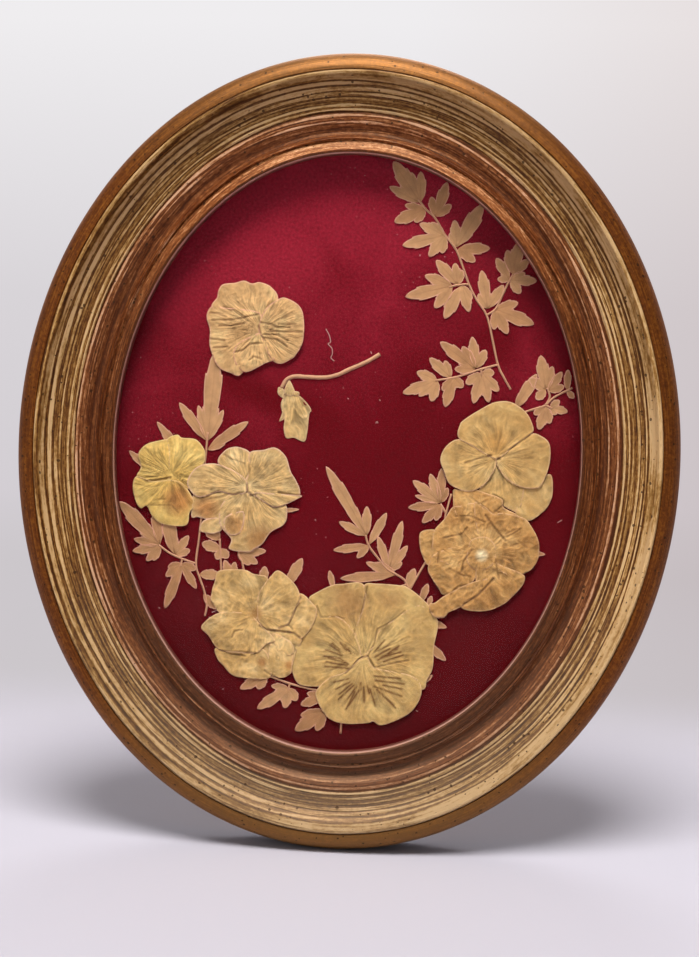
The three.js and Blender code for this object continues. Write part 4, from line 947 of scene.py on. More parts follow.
def petal_tissue(name, pale, body, deep, blush, rim):
    """Dried petal: matt, finely crinkled, with painted shade in its folds and creases and painted
    highlight on its crests and rim, and the pansy's own dark veins where the flower is given any."""
    finish, tree, shader = new_finish(name, {"Roughness": 0.7, "Specular IOR Level": 0.3})
    where = add(tree, "TexCoord", out="Object")
    fold_shade_out, rim_out, crease_shade_out, blush_out, vein_out, pull_out = (
        add(tree, "Attribute", attribute_name=key, out="Fac")
        for key in ("fold", "rim", "crease", "blush", "vein", "pull"))
    ray_out = add(tree, "Attribute", attribute_name="ray", out="Vector")
    rays = add(tree, "TexNoise", {"Vector": ray_out, "Scale": 2.2, "Detail": 3})
    cloud = add(tree, "TexNoise", {"Vector": where, "Scale": 130, "Detail": 5})
    fibre = add(tree, "TexNoise", {"Vector": where, "Scale": 420, "Detail": 4, "Distortion": 0.8},
                noise_type="RIDGED_MULTIFRACTAL")
    clouded = add(tree, "ValToRGB", {"Fac": cloud}, stops=[
        (0.16, srgb(deep)), (0.5, srgb(body)), (0.8, srgb(pale))])
    # Painted shade and light: along the wrinkles the colour follows their bump, darker in the hollows and lighter
    # on the crests.
    clouded = add(tree, "Mix", {
        "Factor": pull_out, "A": clouded,
        "B": add(tree, "ValToRGB", {"Fac": rays}, stops=[
            (0.36, grey(0.72)), (0.5, grey(1.0)), (0.62, grey(1.12))])},
        data_type="RGBA", blend_type="MULTIPLY", out="Result")
    blushed = add(tree, "Mix", {"Factor": blush_out, "A": clouded, "B": srgb(blush)},
                  data_type="RGBA", out="Result")
    # Painted shade and light: the colour is darkened in the relief's hollows and lightened on its crests.
    folded = add(tree, "Mix", {
        "Factor": 1, "A": blushed,
        "B": add(tree, "ValToRGB", {"Fac": fold_shade_out}, stops=[
            (0.0, grey(0.62)), (0.3, grey(0.86)), (0.55, grey(1.0)), (0.9, grey(1.28))])},
        data_type="RGBA", blend_type="MULTIPLY", clamp_result=False, out="Result")
    # Painted highlight: the rim is mixed towards the pale rim colour, the light caught on the petal's edge.
    colour = add(tree, "Mix", {
        "Factor": add(tree, "Math", {0: rim_out, 1: 0.85}, operation="MULTIPLY"),
        "A": folded, "B": srgb(rim)}, data_type="RGBA", out="Result")
    strokes = add(tree, "MapRange", {"Value": rays, "From Min": 0.3, "From Max": 0.46})
    colour = add(tree, "Mix", {
        "Factor": add(tree, "Math", {0: vein_out, 1: strokes}, operation="MULTIPLY"),
        "A": colour, "B": srgb("#673a12")}, data_type="RGBA", out="Result")
    # Painted shade: the drawn creases are darkened towards brown.
    tree.links.new(add(tree, "Mix", {
        "Factor": crease_shade_out, "A": colour, "B": srgb("#6a3d18")}, data_type="RGBA", out="Result"),
        shader.inputs["Base Color"])
    wrinkled = add(tree, "Math", {
        0: add(tree, "Math", {0: rays, 1: pull_out}, operation="MULTIPLY"), 1: 1.6,
        2: add(tree, "Math", {0: fibre, 1: 0.35}, operation="MULTIPLY")},
        operation="MULTIPLY_ADD")
    tree.links.new(add(tree, "Bump", {
        "Height": wrinkled, "Strength": 0.8, "Distance": 0.0004}), shader.inputs["Normal"])
    return finish


def pressed_flower(name, node, finish, petals, throat, creases=(), radial=(0.25, 9, 4, 24),
                   crumple=0.12, under=(), blushes=(), stretch=(1, 1), veins=()):
    """Builds a flower petal by petal, with wrinkles that run to the throat, creases and veins. The
    petals it lies over lift it by the rise given with each."""
    bm = bmesh.new()
    fold_shade_layer, rim_layer, crease_shade_layer, blush_layer, vein_layer, pull_layer = [
        bm.verts.layers.float.new(key) for key in ("fold", "rim", "crease", "blush", "vein", "pull")]
    ray_layer = bm.verts.layers.float_vector.new("ray")
    middle = spot(*throat)
    lines = [(drawn(line), width, depth) for group, width, depth in creases for line in group]
    strokes = [drawn(line) for line in veins]
    covered = [(traced(shares), rise) for shares, rise in under]
    height, count, start, end = radial
    seed = random.Random(name).random() * 50
    for index, (level, shares) in enumerate(petals):
        outline = traced(shares)
        line, _, tree = outline
        low = Vector((min(p.x for p in line), min(p.y for p in line)))
        size = Vector((max(p.x for p in line), max(p.y for p in line))) - low
        made = bmesh.ops.create_grid(bm, x_segments=math.ceil(size.x / PITCH),
                                     y_segments=math.ceil(size.y / PITCH), size=1)["verts"]
        depths = {}
        for vert in made:
            vert.co = (low.x + size.x * (vert.co.x + 1) / 2, low.y + size.y * (vert.co.y + 1) / 2, 0)
            depths[vert] = depth_inside(outline, vert.co.xy)
        squares = dict.fromkeys(square for vert in made for square in vert.link_faces)
        outside = [s for s in squares if sum(depths[v] for v in s.verts) < 0]
        bmesh.ops.delete(bm, geom=outside, context="FACES")
        for vert in [v for v in made if v.is_valid]:
            edge = depths[vert]
            place = vert.co.xy
            if vert.is_boundary:
                edge, place = 0, line[tree.find(vert.co)[1]]
            away = place - middle
            radius = away.length
            spin = math.atan2(away.y * stretch[1], away.x * stretch[0])
            warp = noise.noise(Vector((place.x * 0.12, place.y * 0.12, seed)))
            x, y = count * math.cos(spin), count * math.sin(spin)
            ray = ridge(x * 0.5 + warp, y * 0.5, seed + radius * 0.05)
            ray += 0.6 * ridge(x + warp, y, seed + radius * 0.08)
            share = smooth(0.3, start, radius) * (1 - smooth(end * 0.5, end, radius) * 0.8)
            rough = sum(weight * ridge(place.x * pace + warp, place.y * pace - warp, seed + 3 + index)
                        for pace, weight in ((0.18, 0.7), (0.42, 0.55), (0.9, 0.3)))
            relief = height * ray * share + crumple * rough
            dark = 0
            for crease, width, depth in lines:
                mark, sides = nearness(place, crease, width)
                relief += depth * (0.35 * sides - 0.4 * mark)
                dark = max(dark, depth * mark)
            lifts = [rise * smooth(-2.2, 0.4, depth_inside(shape, place)) for shape, rise in covered]
            lift = max(lifts, default=0)
            curl = 0.3 * noise.noise(Vector((place.x * 0.2, place.y * 0.2, seed + index))) - 0.12
            tint = 0
            for share_place, reach, strength in blushes:
                tint = max(tint, strength * (1 - smooth(0.2, 1, (place - spot(*share_place)).length / reach)))
            # Fold, rim and crease values paint light and shade: darker hollows and creases, lighter crests and rim.
            vert[fold_shade_layer] = 0.52 + 0.85 * relief / (height + crumple)
            vert[rim_layer] = 1 - smooth(0.1, 0.65, edge)
            vert[crease_shade_layer] = min(dark, 1) * 0.6
            vert[blush_layer] = tint
            vert[vein_layer] = max([nearness(place, stroke, 0.42)[0] for stroke in strokes], default=0)
            vert[pull_layer] = share * min(height / 0.3, 1)
            vert[ray_layer] = (x + warp, y + warp, seed + radius * 0.1)
            rise = lift + max(relief, -0.35) + curl * (1 - smooth(0, 3, edge))
            vert.co = stood_up(place.x, place.y, min(level + rise, GLASS_CLEARANCE))
    make_sheet(name, bm, finish, PETAL_THICKNESS, [node])


pressed_flower(
    "pansy_petals_upper_left", "pansy_upper_left",
    petal_tissue("tan pansy tissue", "#dfbb80", "#cfa26c", "#b98a55", "#b58550", "#e0a088"),
    [(5.35, [(-0.587, 0.515), (-0.581, 0.539), (-0.562, 0.56), (-0.51, 0.566), (-0.472, 0.574), (-0.437, 0.565),
             (-0.403, 0.57), (-0.354, 0.555), (-0.322, 0.514), (-0.35, 0.44), (-0.45, 0.43), (-0.602, 0.475)]),
     (5.6, [(-0.602, 0.488), (-0.629, 0.454), (-0.613, 0.403), (-0.611, 0.349), (-0.574, 0.284), (-0.519, 0.262),
            (-0.472, 0.259), (-0.42, 0.34), (-0.385, 0.4), (-0.395, 0.463), (-0.48, 0.478), (-0.553, 0.481)]),
     (5.8, [(-0.506, 0.335), (-0.508, 0.318), (-0.493, 0.288), (-0.467, 0.269), (-0.437, 0.269), (-0.369, 0.298),
            (-0.33, 0.315), (-0.345, 0.37), (-0.386, 0.4), (-0.43, 0.388), (-0.489, 0.362)]),
     (5.95, [(-0.322, 0.514), (-0.287, 0.519), (-0.232, 0.495), (-0.21, 0.454), (-0.21, 0.376), (-0.24, 0.328),
             (-0.262, 0.313), (-0.304, 0.298), (-0.347, 0.315), (-0.386, 0.383), (-0.403, 0.417),
             (-0.377, 0.478)])],
    throat=(-0.401, 0.413), radial=(0.34, 13, 4, 22), crumple=0.27, stretch=(1, 2.2),
    creases=[
        ([[(-0.404, 0.423), (-0.392, 0.398)], [(-0.389, 0.39), (-0.373, 0.376)]], 0.45, 1.0),
        ([[(-0.604, 0.438), (-0.514, 0.442), (-0.437, 0.456), (-0.403, 0.463)],
          [(-0.613, 0.463), (-0.579, 0.461), (-0.544, 0.451)], [(-0.557, 0.485), (-0.523, 0.471)],
          [(-0.613, 0.376), (-0.549, 0.371)], [(-0.596, 0.345), (-0.536, 0.35)],
          [(-0.574, 0.42), (-0.519, 0.422), (-0.467, 0.43)], [(-0.352, 0.407), (-0.215, 0.407)],
          [(-0.394, 0.435), (-0.352, 0.43), (-0.317, 0.42), (-0.27, 0.421)],
          [(-0.386, 0.395), (-0.317, 0.395), (-0.275, 0.376)], [(-0.317, 0.432), (-0.245, 0.432)],
          [(-0.377, 0.384), (-0.322, 0.379), (-0.279, 0.357)],
          [(-0.502, 0.333), (-0.467, 0.34), (-0.437, 0.362), (-0.386, 0.366)],
          [(-0.437, 0.308), (-0.42, 0.32), (-0.386, 0.311)]], 0.42, 0.8)])
yellow_petals = [
    (5.4, [(-0.909, -0.022), (-0.878, 0.01), (-0.831, 0.024), (-0.773, 0.03), (-0.757, 0.0), (-0.75, -0.09),
           (-0.792, -0.125), (-0.86, -0.125), (-0.912, -0.1), (-0.897, -0.066)]),
    (5.6, [(-0.785, 0.031), (-0.742, 0.048), (-0.719, 0.038), (-0.66, 0.034), (-0.623, 0.003), (-0.617, -0.022),
           (-0.625, -0.05), (-0.655, -0.075), (-0.68, -0.13), (-0.72, -0.14), (-0.77, -0.12), (-0.775, -0.01)]),
    (5.85, [(-0.913, -0.098), (-0.928, -0.136), (-0.911, -0.186), (-0.89, -0.206), (-0.865, -0.198),
            (-0.839, -0.232), (-0.804, -0.254), (-0.746, -0.262), (-0.688, -0.256), (-0.678, -0.217),
            (-0.658, -0.189), (-0.668, -0.161), (-0.711, -0.118), (-0.761, -0.106), (-0.843, -0.112)])]
pressed_flower(
    "pansy_petals_yellow", "pansy_yellow",
    petal_tissue("yellow pansy tissue", "#ecca7c", "#d8b062", "#c4974a", "#b8763c", "#e2bb84"),
    yellow_petals, throat=(-0.761, -0.091), radial=(0.34, 11, 4, 18), crumple=0.2, stretch=(1, 2),
    creases=[
        ([[(-0.907, -0.099), (-0.867, -0.113), (-0.812, -0.107), (-0.765, -0.098)]], 0.45, 0.9),
        ([[(-0.882, 0.0), (-0.843, -0.028), (-0.793, -0.071)],
          [(-0.917, -0.124), (-0.847, -0.133), (-0.816, -0.126)],
          [(-0.839, -0.175), (-0.785, -0.172)], [(-0.859, -0.194), (-0.758, -0.192), (-0.726, -0.217)],
          [(-0.761, -0.109), (-0.722, -0.124)], [(-0.715, -0.109), (-0.691, -0.136)]], 0.35, 0.5)],
    blushes=[((-0.726, -0.173), 10, 0.85)])
pressed_flower(
    "pansy_petals_pale", "pansy_pale",
    petal_tissue("pale pansy tissue", "#e6c48c", "#d0a86e", "#bb8f55", "#a96c36", "#e4b49c"),
    [(5.45, [(-0.652, -0.13), (-0.671, -0.224), (-0.638, -0.23), (-0.571, -0.241), (-0.5, -0.26),
             (-0.46, -0.2), (-0.45, -0.12), (-0.55, -0.11)]),
     (5.5, [(-0.612, -0.238), (-0.634, -0.272), (-0.6, -0.283), (-0.565, -0.282), (-0.535, -0.268),
            (-0.54, -0.23)]),
     (5.65, [(-0.405, -0.12), (-0.3, -0.16), (-0.262, -0.177), (-0.255, -0.209), (-0.267, -0.243),
             (-0.324, -0.272), (-0.357, -0.311), (-0.391, -0.33), (-0.419, -0.342), (-0.5, -0.334),
             (-0.495, -0.3), (-0.543, -0.255), (-0.548, -0.202), (-0.524, -0.165), (-0.486, -0.13)]),
     (5.8, [(-0.443, -0.206), (-0.441, -0.243), (-0.457, -0.277), (-0.495, -0.287), (-0.522, -0.27),
            (-0.529, -0.24), (-0.514, -0.221), (-0.481, -0.209)]),
     (5.75, [(-0.562, -0.037), (-0.536, -0.003), (-0.51, 0.01), (-0.472, 0.013), (-0.422, -0.005),
             (-0.4, -0.055), (-0.41, -0.13), (-0.46, -0.13), (-0.53, -0.09)]),
     (5.9, [(-0.425, -0.005), (-0.367, 0.006), (-0.315, 0.015), (-0.269, -0.013), (-0.246, -0.062),
            (-0.224, -0.09), (-0.203, -0.126), (-0.22, -0.15), (-0.367, -0.155), (-0.433, -0.138),
            (-0.441, -0.111), (-0.426, -0.06)]),
     (6.0, [(-0.686, -0.096), (-0.648, -0.058), (-0.581, -0.045), (-0.51, -0.06), (-0.453, -0.085),
            (-0.43, -0.11), (-0.438, -0.141), (-0.495, -0.149), (-0.552, -0.141), (-0.605, -0.156),
            (-0.648, -0.16), (-0.688, -0.126)]),
     (6.1, [(-0.4, -0.14), (-0.296, -0.141), (-0.198, -0.143), (-0.207, -0.153), (-0.296, -0.186),
            (-0.345, -0.176)])],
    throat=(-0.431, -0.122), radial=(0.26, 9, 4, 26), crumple=0.22,
    under=[(shares, 0.3) for level, shares in yellow_petals],
    creases=[
        ([[(-0.433, -0.111), (-0.429, -0.138), (-0.414, -0.141)], [(-0.419, -0.149), (-0.391, -0.145)],
          [(-0.296, -0.136), (-0.2, -0.145)]], 0.5, 0.9),
        ([[(-0.426, -0.043), (-0.424, -0.073)],
          [(-0.605, -0.158), (-0.552, -0.136), (-0.495, -0.149), (-0.443, -0.139)],
          [(-0.367, -0.16), (-0.338, -0.181), (-0.296, -0.187), (-0.262, -0.177)],
          [(-0.536, -0.013), (-0.5, -0.028), (-0.448, -0.041)]], 0.4, 0.6)],
    blushes=[((-0.61, -0.2), 8, 0.8), ((-0.48, -0.25), 7, 0.6), ((-0.37, -0.3), 9, 0.6)])
veined_petals = [
    (5.3, [(-0.15, -0.492), (-0.128, -0.475), (-0.058, -0.445), (-0.014, -0.438), (0.086, -0.439), (0.09, -0.55),
           (0.06, -0.62), (0.0, -0.6), (-0.096, -0.58), (-0.134, -0.52)]),
    (5.45, [(0.086, -0.439), (0.143, -0.432), (0.244, -0.435), (0.275, -0.442), (0.319, -0.465), (0.382, -0.51),
            (0.396, -0.535), (0.3, -0.6), (0.143, -0.66), (0.093, -0.69), (0.055, -0.6), (0.086, -0.51)]),
    (5.5, [(-0.15, -0.54), (-0.096, -0.552), (-0.02, -0.55), (0.05, -0.6), (0.085, -0.685), (0.07, -0.74),
           (-0.05, -0.78), (-0.09, -0.79), (-0.18, -0.785), (-0.213, -0.74), (-0.222, -0.7), (-0.215, -0.64),
           (-0.19, -0.58)]),
    (5.6, [(0.1, -0.68), (0.137, -0.64), (0.149, -0.6), (0.206, -0.56), (0.32, -0.5), (0.396, -0.535),
           (0.408, -0.57), (0.395, -0.635), (0.392, -0.71), (0.37, -0.75), (0.351, -0.785), (0.25, -0.75),
           (0.12, -0.74)]),
    (5.8, [(0.074, -0.692), (0.017, -0.735), (-0.052, -0.758), (-0.103, -0.8), (-0.106, -0.825), (-0.077, -0.87),
           (-0.04, -0.9), (0.023, -0.912), (0.118, -0.907), (0.143, -0.9), (0.181, -0.912), (0.263, -0.885),
           (0.319, -0.85), (0.348, -0.79), (0.307, -0.74), (0.143, -0.716), (0.112, -0.68)])]
pressed_flower(
    "petal_cluster_pale", "flower_pale_cluster",
    petal_tissue("pale folded petal tissue", "#e4c086", "#cea466", "#b88c4e", "#a96f38", "#deb084"),
    [(5.4, [(-0.37, -0.56), (-0.25, -0.57), (-0.19, -0.6), (-0.175, -0.635), (-0.2, -0.68), (-0.22, -0.73),
            (-0.3, -0.74), (-0.37, -0.7), (-0.39, -0.63)]),
     (5.45, [(-0.545, -0.67), (-0.539, -0.709), (-0.51, -0.734), (-0.478, -0.76), (-0.435, -0.77), (-0.312, -0.768),
             (-0.31, -0.72), (-0.34, -0.67), (-0.44, -0.66)]),
     (5.55, [(-0.189, -0.475), (-0.13, -0.509), (-0.114, -0.53), (-0.125, -0.573), (-0.157, -0.615),
             (-0.183, -0.628), (-0.21, -0.615), (-0.27, -0.58), (-0.25, -0.52)]),
     (5.6, [(-0.3, -0.62), (-0.25, -0.63), (-0.213, -0.653), (-0.213, -0.726), (-0.221, -0.751), (-0.264, -0.766),
            (-0.328, -0.745), (-0.32, -0.69)]),
     (5.7, [(-0.541, -0.408), (-0.435, -0.402), (-0.392, -0.415), (-0.331, -0.426), (-0.35, -0.48), (-0.36, -0.56),
            (-0.44, -0.575), (-0.51, -0.57), (-0.569, -0.517), (-0.572, -0.483), (-0.561, -0.449)]),
     (5.8, [(-0.3, -0.615), (-0.242, -0.632), (-0.21, -0.653), (-0.213, -0.683), (-0.261, -0.687),
            (-0.29, -0.66)]),
     (5.9, [(-0.612, -0.6), (-0.542, -0.553), (-0.446, -0.547), (-0.392, -0.56), (-0.35, -0.59), (-0.291, -0.636),
            (-0.328, -0.653), (-0.371, -0.683), (-0.457, -0.685), (-0.531, -0.679), (-0.58, -0.632)]),
     (6.05, [(-0.283, -0.4), (-0.312, -0.415), (-0.366, -0.479), (-0.371, -0.551), (-0.355, -0.585),
             (-0.317, -0.604), (-0.237, -0.581), (-0.205, -0.526), (-0.186, -0.496), (-0.2, -0.458),
             (-0.237, -0.424)])],
    throat=(-0.376, -0.551), radial=(0.13, 7, 4, 26), crumple=0.24,
    under=[(veined_petals[0][1], 0.5), (veined_petals[2][1], 0.5)],
    creases=[
        ([[(-0.36, -0.59), (-0.328, -0.602), (-0.264, -0.607), (-0.21, -0.611), (-0.184, -0.624)]], 0.5, 0.9),
        ([[(-0.186, -0.488), (-0.213, -0.539), (-0.232, -0.577)],
          [(-0.275, -0.594), (-0.237, -0.581), (-0.216, -0.598)],
          [(-0.478, -0.632), (-0.467, -0.611), (-0.435, -0.607)], [(-0.526, -0.681), (-0.371, -0.683)],
          [(-0.531, -0.679), (-0.483, -0.689), (-0.419, -0.696)],
          [(-0.333, -0.743), (-0.307, -0.755), (-0.275, -0.766)]], 0.4, 0.6)],
    blushes=[((-0.345, -0.715), 3, 0.8), ((-0.225, -0.72), 3, 0.8), ((-0.376, -0.551), 4, 0.6)])
pressed_flower(
    "pansy_petals_veined", "pansy_veined",
    petal_tissue("veined pansy tissue", "#dcb876", "#c8a062", "#b4884a", "#a06c3c", "#dfb286"),
    veined_petals, throat=(0.093, -0.69), radial=(0.16, 12, 4, 30), crumple=0.13,
    creases=[
        ([[(0.017, -0.74), (0.042, -0.72), (0.074, -0.69), (0.112, -0.678)],
          [(0.112, -0.68), (0.143, -0.716)]], 0.4, 0.9),
        ([[(0.143, -0.716), (0.193, -0.705), (0.288, -0.687)],
          [(-0.115, -0.515), (-0.096, -0.552), (-0.02, -0.55), (0.005, -0.555)],
          [(0.099, -0.442), (0.086, -0.505), (0.074, -0.55)], [(0.049, -0.592), (0.049, -0.612)],
          [(0.263, -0.52), (0.206, -0.56), (0.149, -0.585), (0.137, -0.635), (0.112, -0.68)]], 0.35, 0.55)],
    blushes=[((0.02, -0.5), 12, 0.6), ((0.2, -0.47), 10, 0.35)],
    veins=[
        [(-0.052, -0.645), (-0.008, -0.67)], [(-0.043, -0.64), (-0.011, -0.66)], [(-0.008, -0.638), (0.02, -0.663)],
        [(0.027, -0.655), (0.039, -0.673)], [(-0.077, -0.685), (-0.008, -0.69), (0.03, -0.71)],
        [(-0.058, -0.69), (0.017, -0.705)], [(-0.071, -0.72), (0.03, -0.723)], [(0.143, -0.68), (0.206, -0.65)],
        [(0.156, -0.69), (0.238, -0.65)], [(0.181, -0.695), (0.263, -0.67)], [(0.193, -0.67), (0.244, -0.64)],
        [(0.156, -0.66), (0.206, -0.635)], [(0.036, -0.77), (-0.021, -0.795)], [(0.055, -0.78), (-0.008, -0.83)],
        [(0.067, -0.785), (0.011, -0.85)], [(0.08, -0.795), (0.036, -0.85)], [(0.086, -0.77), (0.086, -0.795)],
        [(0.112, -0.78), (0.124, -0.805)], [(0.143, -0.745), (0.256, -0.75)], [(0.143, -0.78), (0.263, -0.81)],
        [(0.156, -0.79), (0.238, -0.85)], [(0.181, -0.775), (0.263, -0.785)], [(0.168, -0.8), (0.231, -0.84)],
        [(0.048, -0.775), (-0.006, -0.812)], [(0.098, -0.785), (0.104, -0.835)], [(0.062, -0.8), (0.026, -0.862)],
        [(0.126, -0.79), (0.152, -0.846)], [(0.148, -0.76), (0.272, -0.768)], [(0.03, -0.758), (-0.03, -0.772)],
        [(0.14, -0.664), (0.18, -0.622)], [(0.17, -0.682), (0.254, -0.66)], [(0.012, -0.645), (0.028, -0.664)],
        [(-0.07, -0.663), (0.0, -0.68)], [(-0.066, -0.704), (0.022, -0.714)]])
pressed_flower(
    "crumpled_petals", "flower_crumpled",
    petal_tissue("crumpled petal tissue", "#d8ad70", "#bb8a4f", "#9e6b36", "#ecd9ae", "#d8a87c"),
    [(5.75, [(0.454, -0.105), (0.454, -0.144), (0.463, -0.18), (0.5, -0.21), (0.6, -0.23), (0.75, -0.23),
             (0.73, -0.185), (0.671, -0.16), (0.66, -0.132), (0.6, -0.115), (0.53, -0.1), (0.484, -0.106)]),
     (5.9, [(0.32, -0.253), (0.38, -0.242), (0.41, -0.26), (0.41, -0.35), (0.358, -0.362), (0.342, -0.349),
            (0.32, -0.305)]),
     (6.0, [(0.38, -0.242), (0.419, -0.205), (0.452, -0.165), (0.49, -0.158), (0.535, -0.148), (0.58, -0.16),
            (0.6, -0.24), (0.56, -0.32), (0.47, -0.36), (0.38, -0.33), (0.372, -0.28)]),
     (6.1, [(0.358, -0.362), (0.361, -0.388), (0.402, -0.436), (0.43, -0.462), (0.5, -0.44), (0.56, -0.4),
            (0.56, -0.33), (0.48, -0.3), (0.42, -0.31), (0.375, -0.33)]),
     (6.2, [(0.545, -0.145), (0.594, -0.161), (0.627, -0.181), (0.671, -0.178), (0.754, -0.192), (0.792, -0.222),
            (0.824, -0.274), (0.82, -0.335), (0.776, -0.375), (0.7, -0.385), (0.61, -0.34), (0.57, -0.27),
            (0.55, -0.2)]),
     (6.3, [(0.58, -0.32), (0.66, -0.35), (0.757, -0.379), (0.77, -0.4), (0.754, -0.427), (0.715, -0.462),
            (0.677, -0.488), (0.605, -0.51), (0.523, -0.508), (0.507, -0.49), (0.56, -0.44), (0.56, -0.38)]),
     (6.45, [(0.438, -0.532), (0.397, -0.536), (0.37, -0.515), (0.369, -0.492), (0.391, -0.488), (0.43, -0.464),
             (0.501, -0.431), (0.562, -0.41), (0.638, -0.396), (0.627, -0.414), (0.573, -0.458), (0.507, -0.497),
             (0.452, -0.519)]),
     (6.5, [(0.54, -0.27), (0.6, -0.26), (0.64, -0.29), (0.64, -0.34), (0.6, -0.37), (0.55, -0.37), (0.52, -0.34),
            (0.525, -0.3)])],
    throat=(0.584, -0.318), radial=(0.14, 9, 3, 24), crumple=0.5,
    creases=[
        ([[(0.594, -0.187), (0.627, -0.222), (0.682, -0.27)], [(0.512, -0.492), (0.578, -0.453), (0.638, -0.399)]],
         0.5, 0.9),
        ([[(0.468, -0.194), (0.529, -0.192), (0.594, -0.211)], [(0.419, -0.268), (0.496, -0.253), (0.518, -0.231)],
          [(0.523, -0.126), (0.562, -0.148), (0.627, -0.18), (0.671, -0.148)],
          [(0.54, -0.305), (0.507, -0.344), (0.501, -0.379)], [(0.644, -0.335), (0.65, -0.366), (0.66, -0.396)],
          [(0.446, -0.37), (0.501, -0.392), (0.54, -0.396)], [(0.4, -0.318), (0.397, -0.353)],
          [(0.457, -0.458), (0.485, -0.431), (0.529, -0.423)], [(0.682, -0.248), (0.726, -0.229)],
          [(0.688, -0.257), (0.748, -0.226)], [(0.704, -0.287), (0.737, -0.279)],
          [(0.671, -0.318), (0.726, -0.322)], [(0.677, -0.327), (0.71, -0.338)],
          [(0.737, -0.27), (0.776, -0.292)]], 0.4, 0.65)],
    blushes=[((0.584, -0.322), 3.6, 0.85)])
pressed_flower(
    "pansy_petals_yellowish", "pansy_yellowish",
    petal_tissue("gold pansy tissue", "#ddb97e", "#c99e60", "#b28347", "#ba823e", "#e0b088"),
    [(5.25, [(0.857, -0.043), (0.872, -0.058), (0.875, -0.109), (0.862, -0.143), (0.835, -0.172), (0.776, -0.202),
             (0.72, -0.18), (0.74, -0.13), (0.751, -0.09), (0.82, -0.06)]),
     (5.45, [(0.637, 0.0), (0.69, -0.055), (0.749, -0.08), (0.751, -0.117), (0.744, -0.151), (0.728, -0.174),
             (0.68, -0.16), (0.594, -0.126), (0.557, -0.113), (0.583, -0.08), (0.61, -0.045)]),
     (6.2, [(0.771, 0.089), (0.803, 0.089), (0.851, 0.061), (0.858, 0.002), (0.835, -0.066), (0.803, -0.092),
            (0.728, -0.087), (0.664, -0.053), (0.628, -0.005), (0.653, 0.02), (0.723, 0.07)]),
     (6.25, [(0.466, 0.064), (0.417, 0.04), (0.393, -0.004), (0.412, -0.049), (0.428, -0.079), (0.455, -0.096),
             (0.519, -0.111), (0.578, -0.089), (0.621, -0.041), (0.632, -0.008), (0.615, 0.015), (0.53, 0.05)]),
     (6.4, [(0.466, 0.07), (0.471, 0.112), (0.487, 0.129), (0.541, 0.159), (0.615, 0.191), (0.685, 0.193),
            (0.749, 0.161), (0.78, 0.117), (0.776, 0.091), (0.712, 0.053), (0.648, 0.008), (0.61, 0.006),
            (0.53, 0.04)])],
    throat=(0.625, 0.005), radial=(0.16, 9, 3, 20), crumple=0.13,
    creases=[
        ([[(0.598, 0.012), (0.606, 0.013)], [(0.638, 0.004), (0.642, 0.004)]], 0.6, 1.0),
        ([[(0.498, -0.015), (0.578, 0.008), (0.594, 0.008)], [(0.68, 0.032), (0.77, 0.087)],
          [(0.621, -0.115), (0.669, -0.134), (0.664, -0.16)]], 0.4, 0.55)],
    blushes=[((0.64, 0.06), 9, 0.5), ((0.8, -0.14), 7, 0.3)])

# Bud: a half-closed pale bud on a bent pinkish stalk, pressed flat on the velvet. The stalk is
# drawn like the sprigs' stems, and the bud petal by petal like the flowers.
BUD_LEVEL = 4.75
bm = bmesh.new()
layers = leaf_layers(bm)
stalk = [(-0.296, 0.219), (-0.289, 0.23), (-0.277, 0.245), (-0.26, 0.254), (-0.231, 0.258), (-0.151, 0.256),
         (-0.103, 0.258), (-0.055, 0.268), (-0.008, 0.287), (0.04, 0.304), (0.087, 0.324), (0.12, 0.341)]
add_stem(bm, layers, [spot(*place) for place in stalk], 1.7, 4.55, crown=0.8, tone=1.0)
make_sheet("bud_stalk", bm, dried_leaf, 0.3)
pressed_flower(
    "bud_petals", "bud_on_stalk",
    petal_tissue("bud tissue", "#e0c08c", "#cda76e", "#b48c52", "#b58550", "#dfb58c"),
    [(BUD_LEVEL, [(-0.288, 0.14), (-0.294, 0.125), (-0.303, 0.107), (-0.298, 0.105),
                  (-0.28, 0.115), (-0.278, 0.14)]),
     (BUD_LEVEL + 0.1, [(-0.286, 0.188), (-0.298, 0.158), (-0.281, 0.113), (-0.282, 0.079), (-0.27, 0.049),
                        (-0.236, 0.05), (-0.193, 0.039), (-0.181, 0.067), (-0.174, 0.132), (-0.166, 0.143),
                        (-0.179, 0.162), (-0.222, 0.194), (-0.27, 0.2)]),
     (BUD_LEVEL + 0.25, [(-0.303, 0.219), (-0.312, 0.217), (-0.311, 0.196), (-0.286, 0.183), (-0.286, 0.211)]),
     (BUD_LEVEL + 0.25, [(-0.245, 0.207), (-0.222, 0.205), (-0.222, 0.192), (-0.245, 0.192)]),
     (BUD_LEVEL + 0.3, [(-0.262, 0.243), (-0.243, 0.215), (-0.239, 0.2), (-0.255, 0.19), (-0.284, 0.2),
                        (-0.281, 0.222), (-0.272, 0.237)])],
    throat=(-0.262, 0.24), radial=(0.2, 9, 3, 30), crumple=0.12,
    creases=[
        ([[(-0.279, 0.147), (-0.274, 0.109), (-0.262, 0.098), (-0.248, 0.113), (-0.246, 0.15)],
          [(-0.243, 0.158), (-0.217, 0.128), (-0.196, 0.118), (-0.184, 0.128), (-0.198, 0.154)]], 0.5, -0.6)])

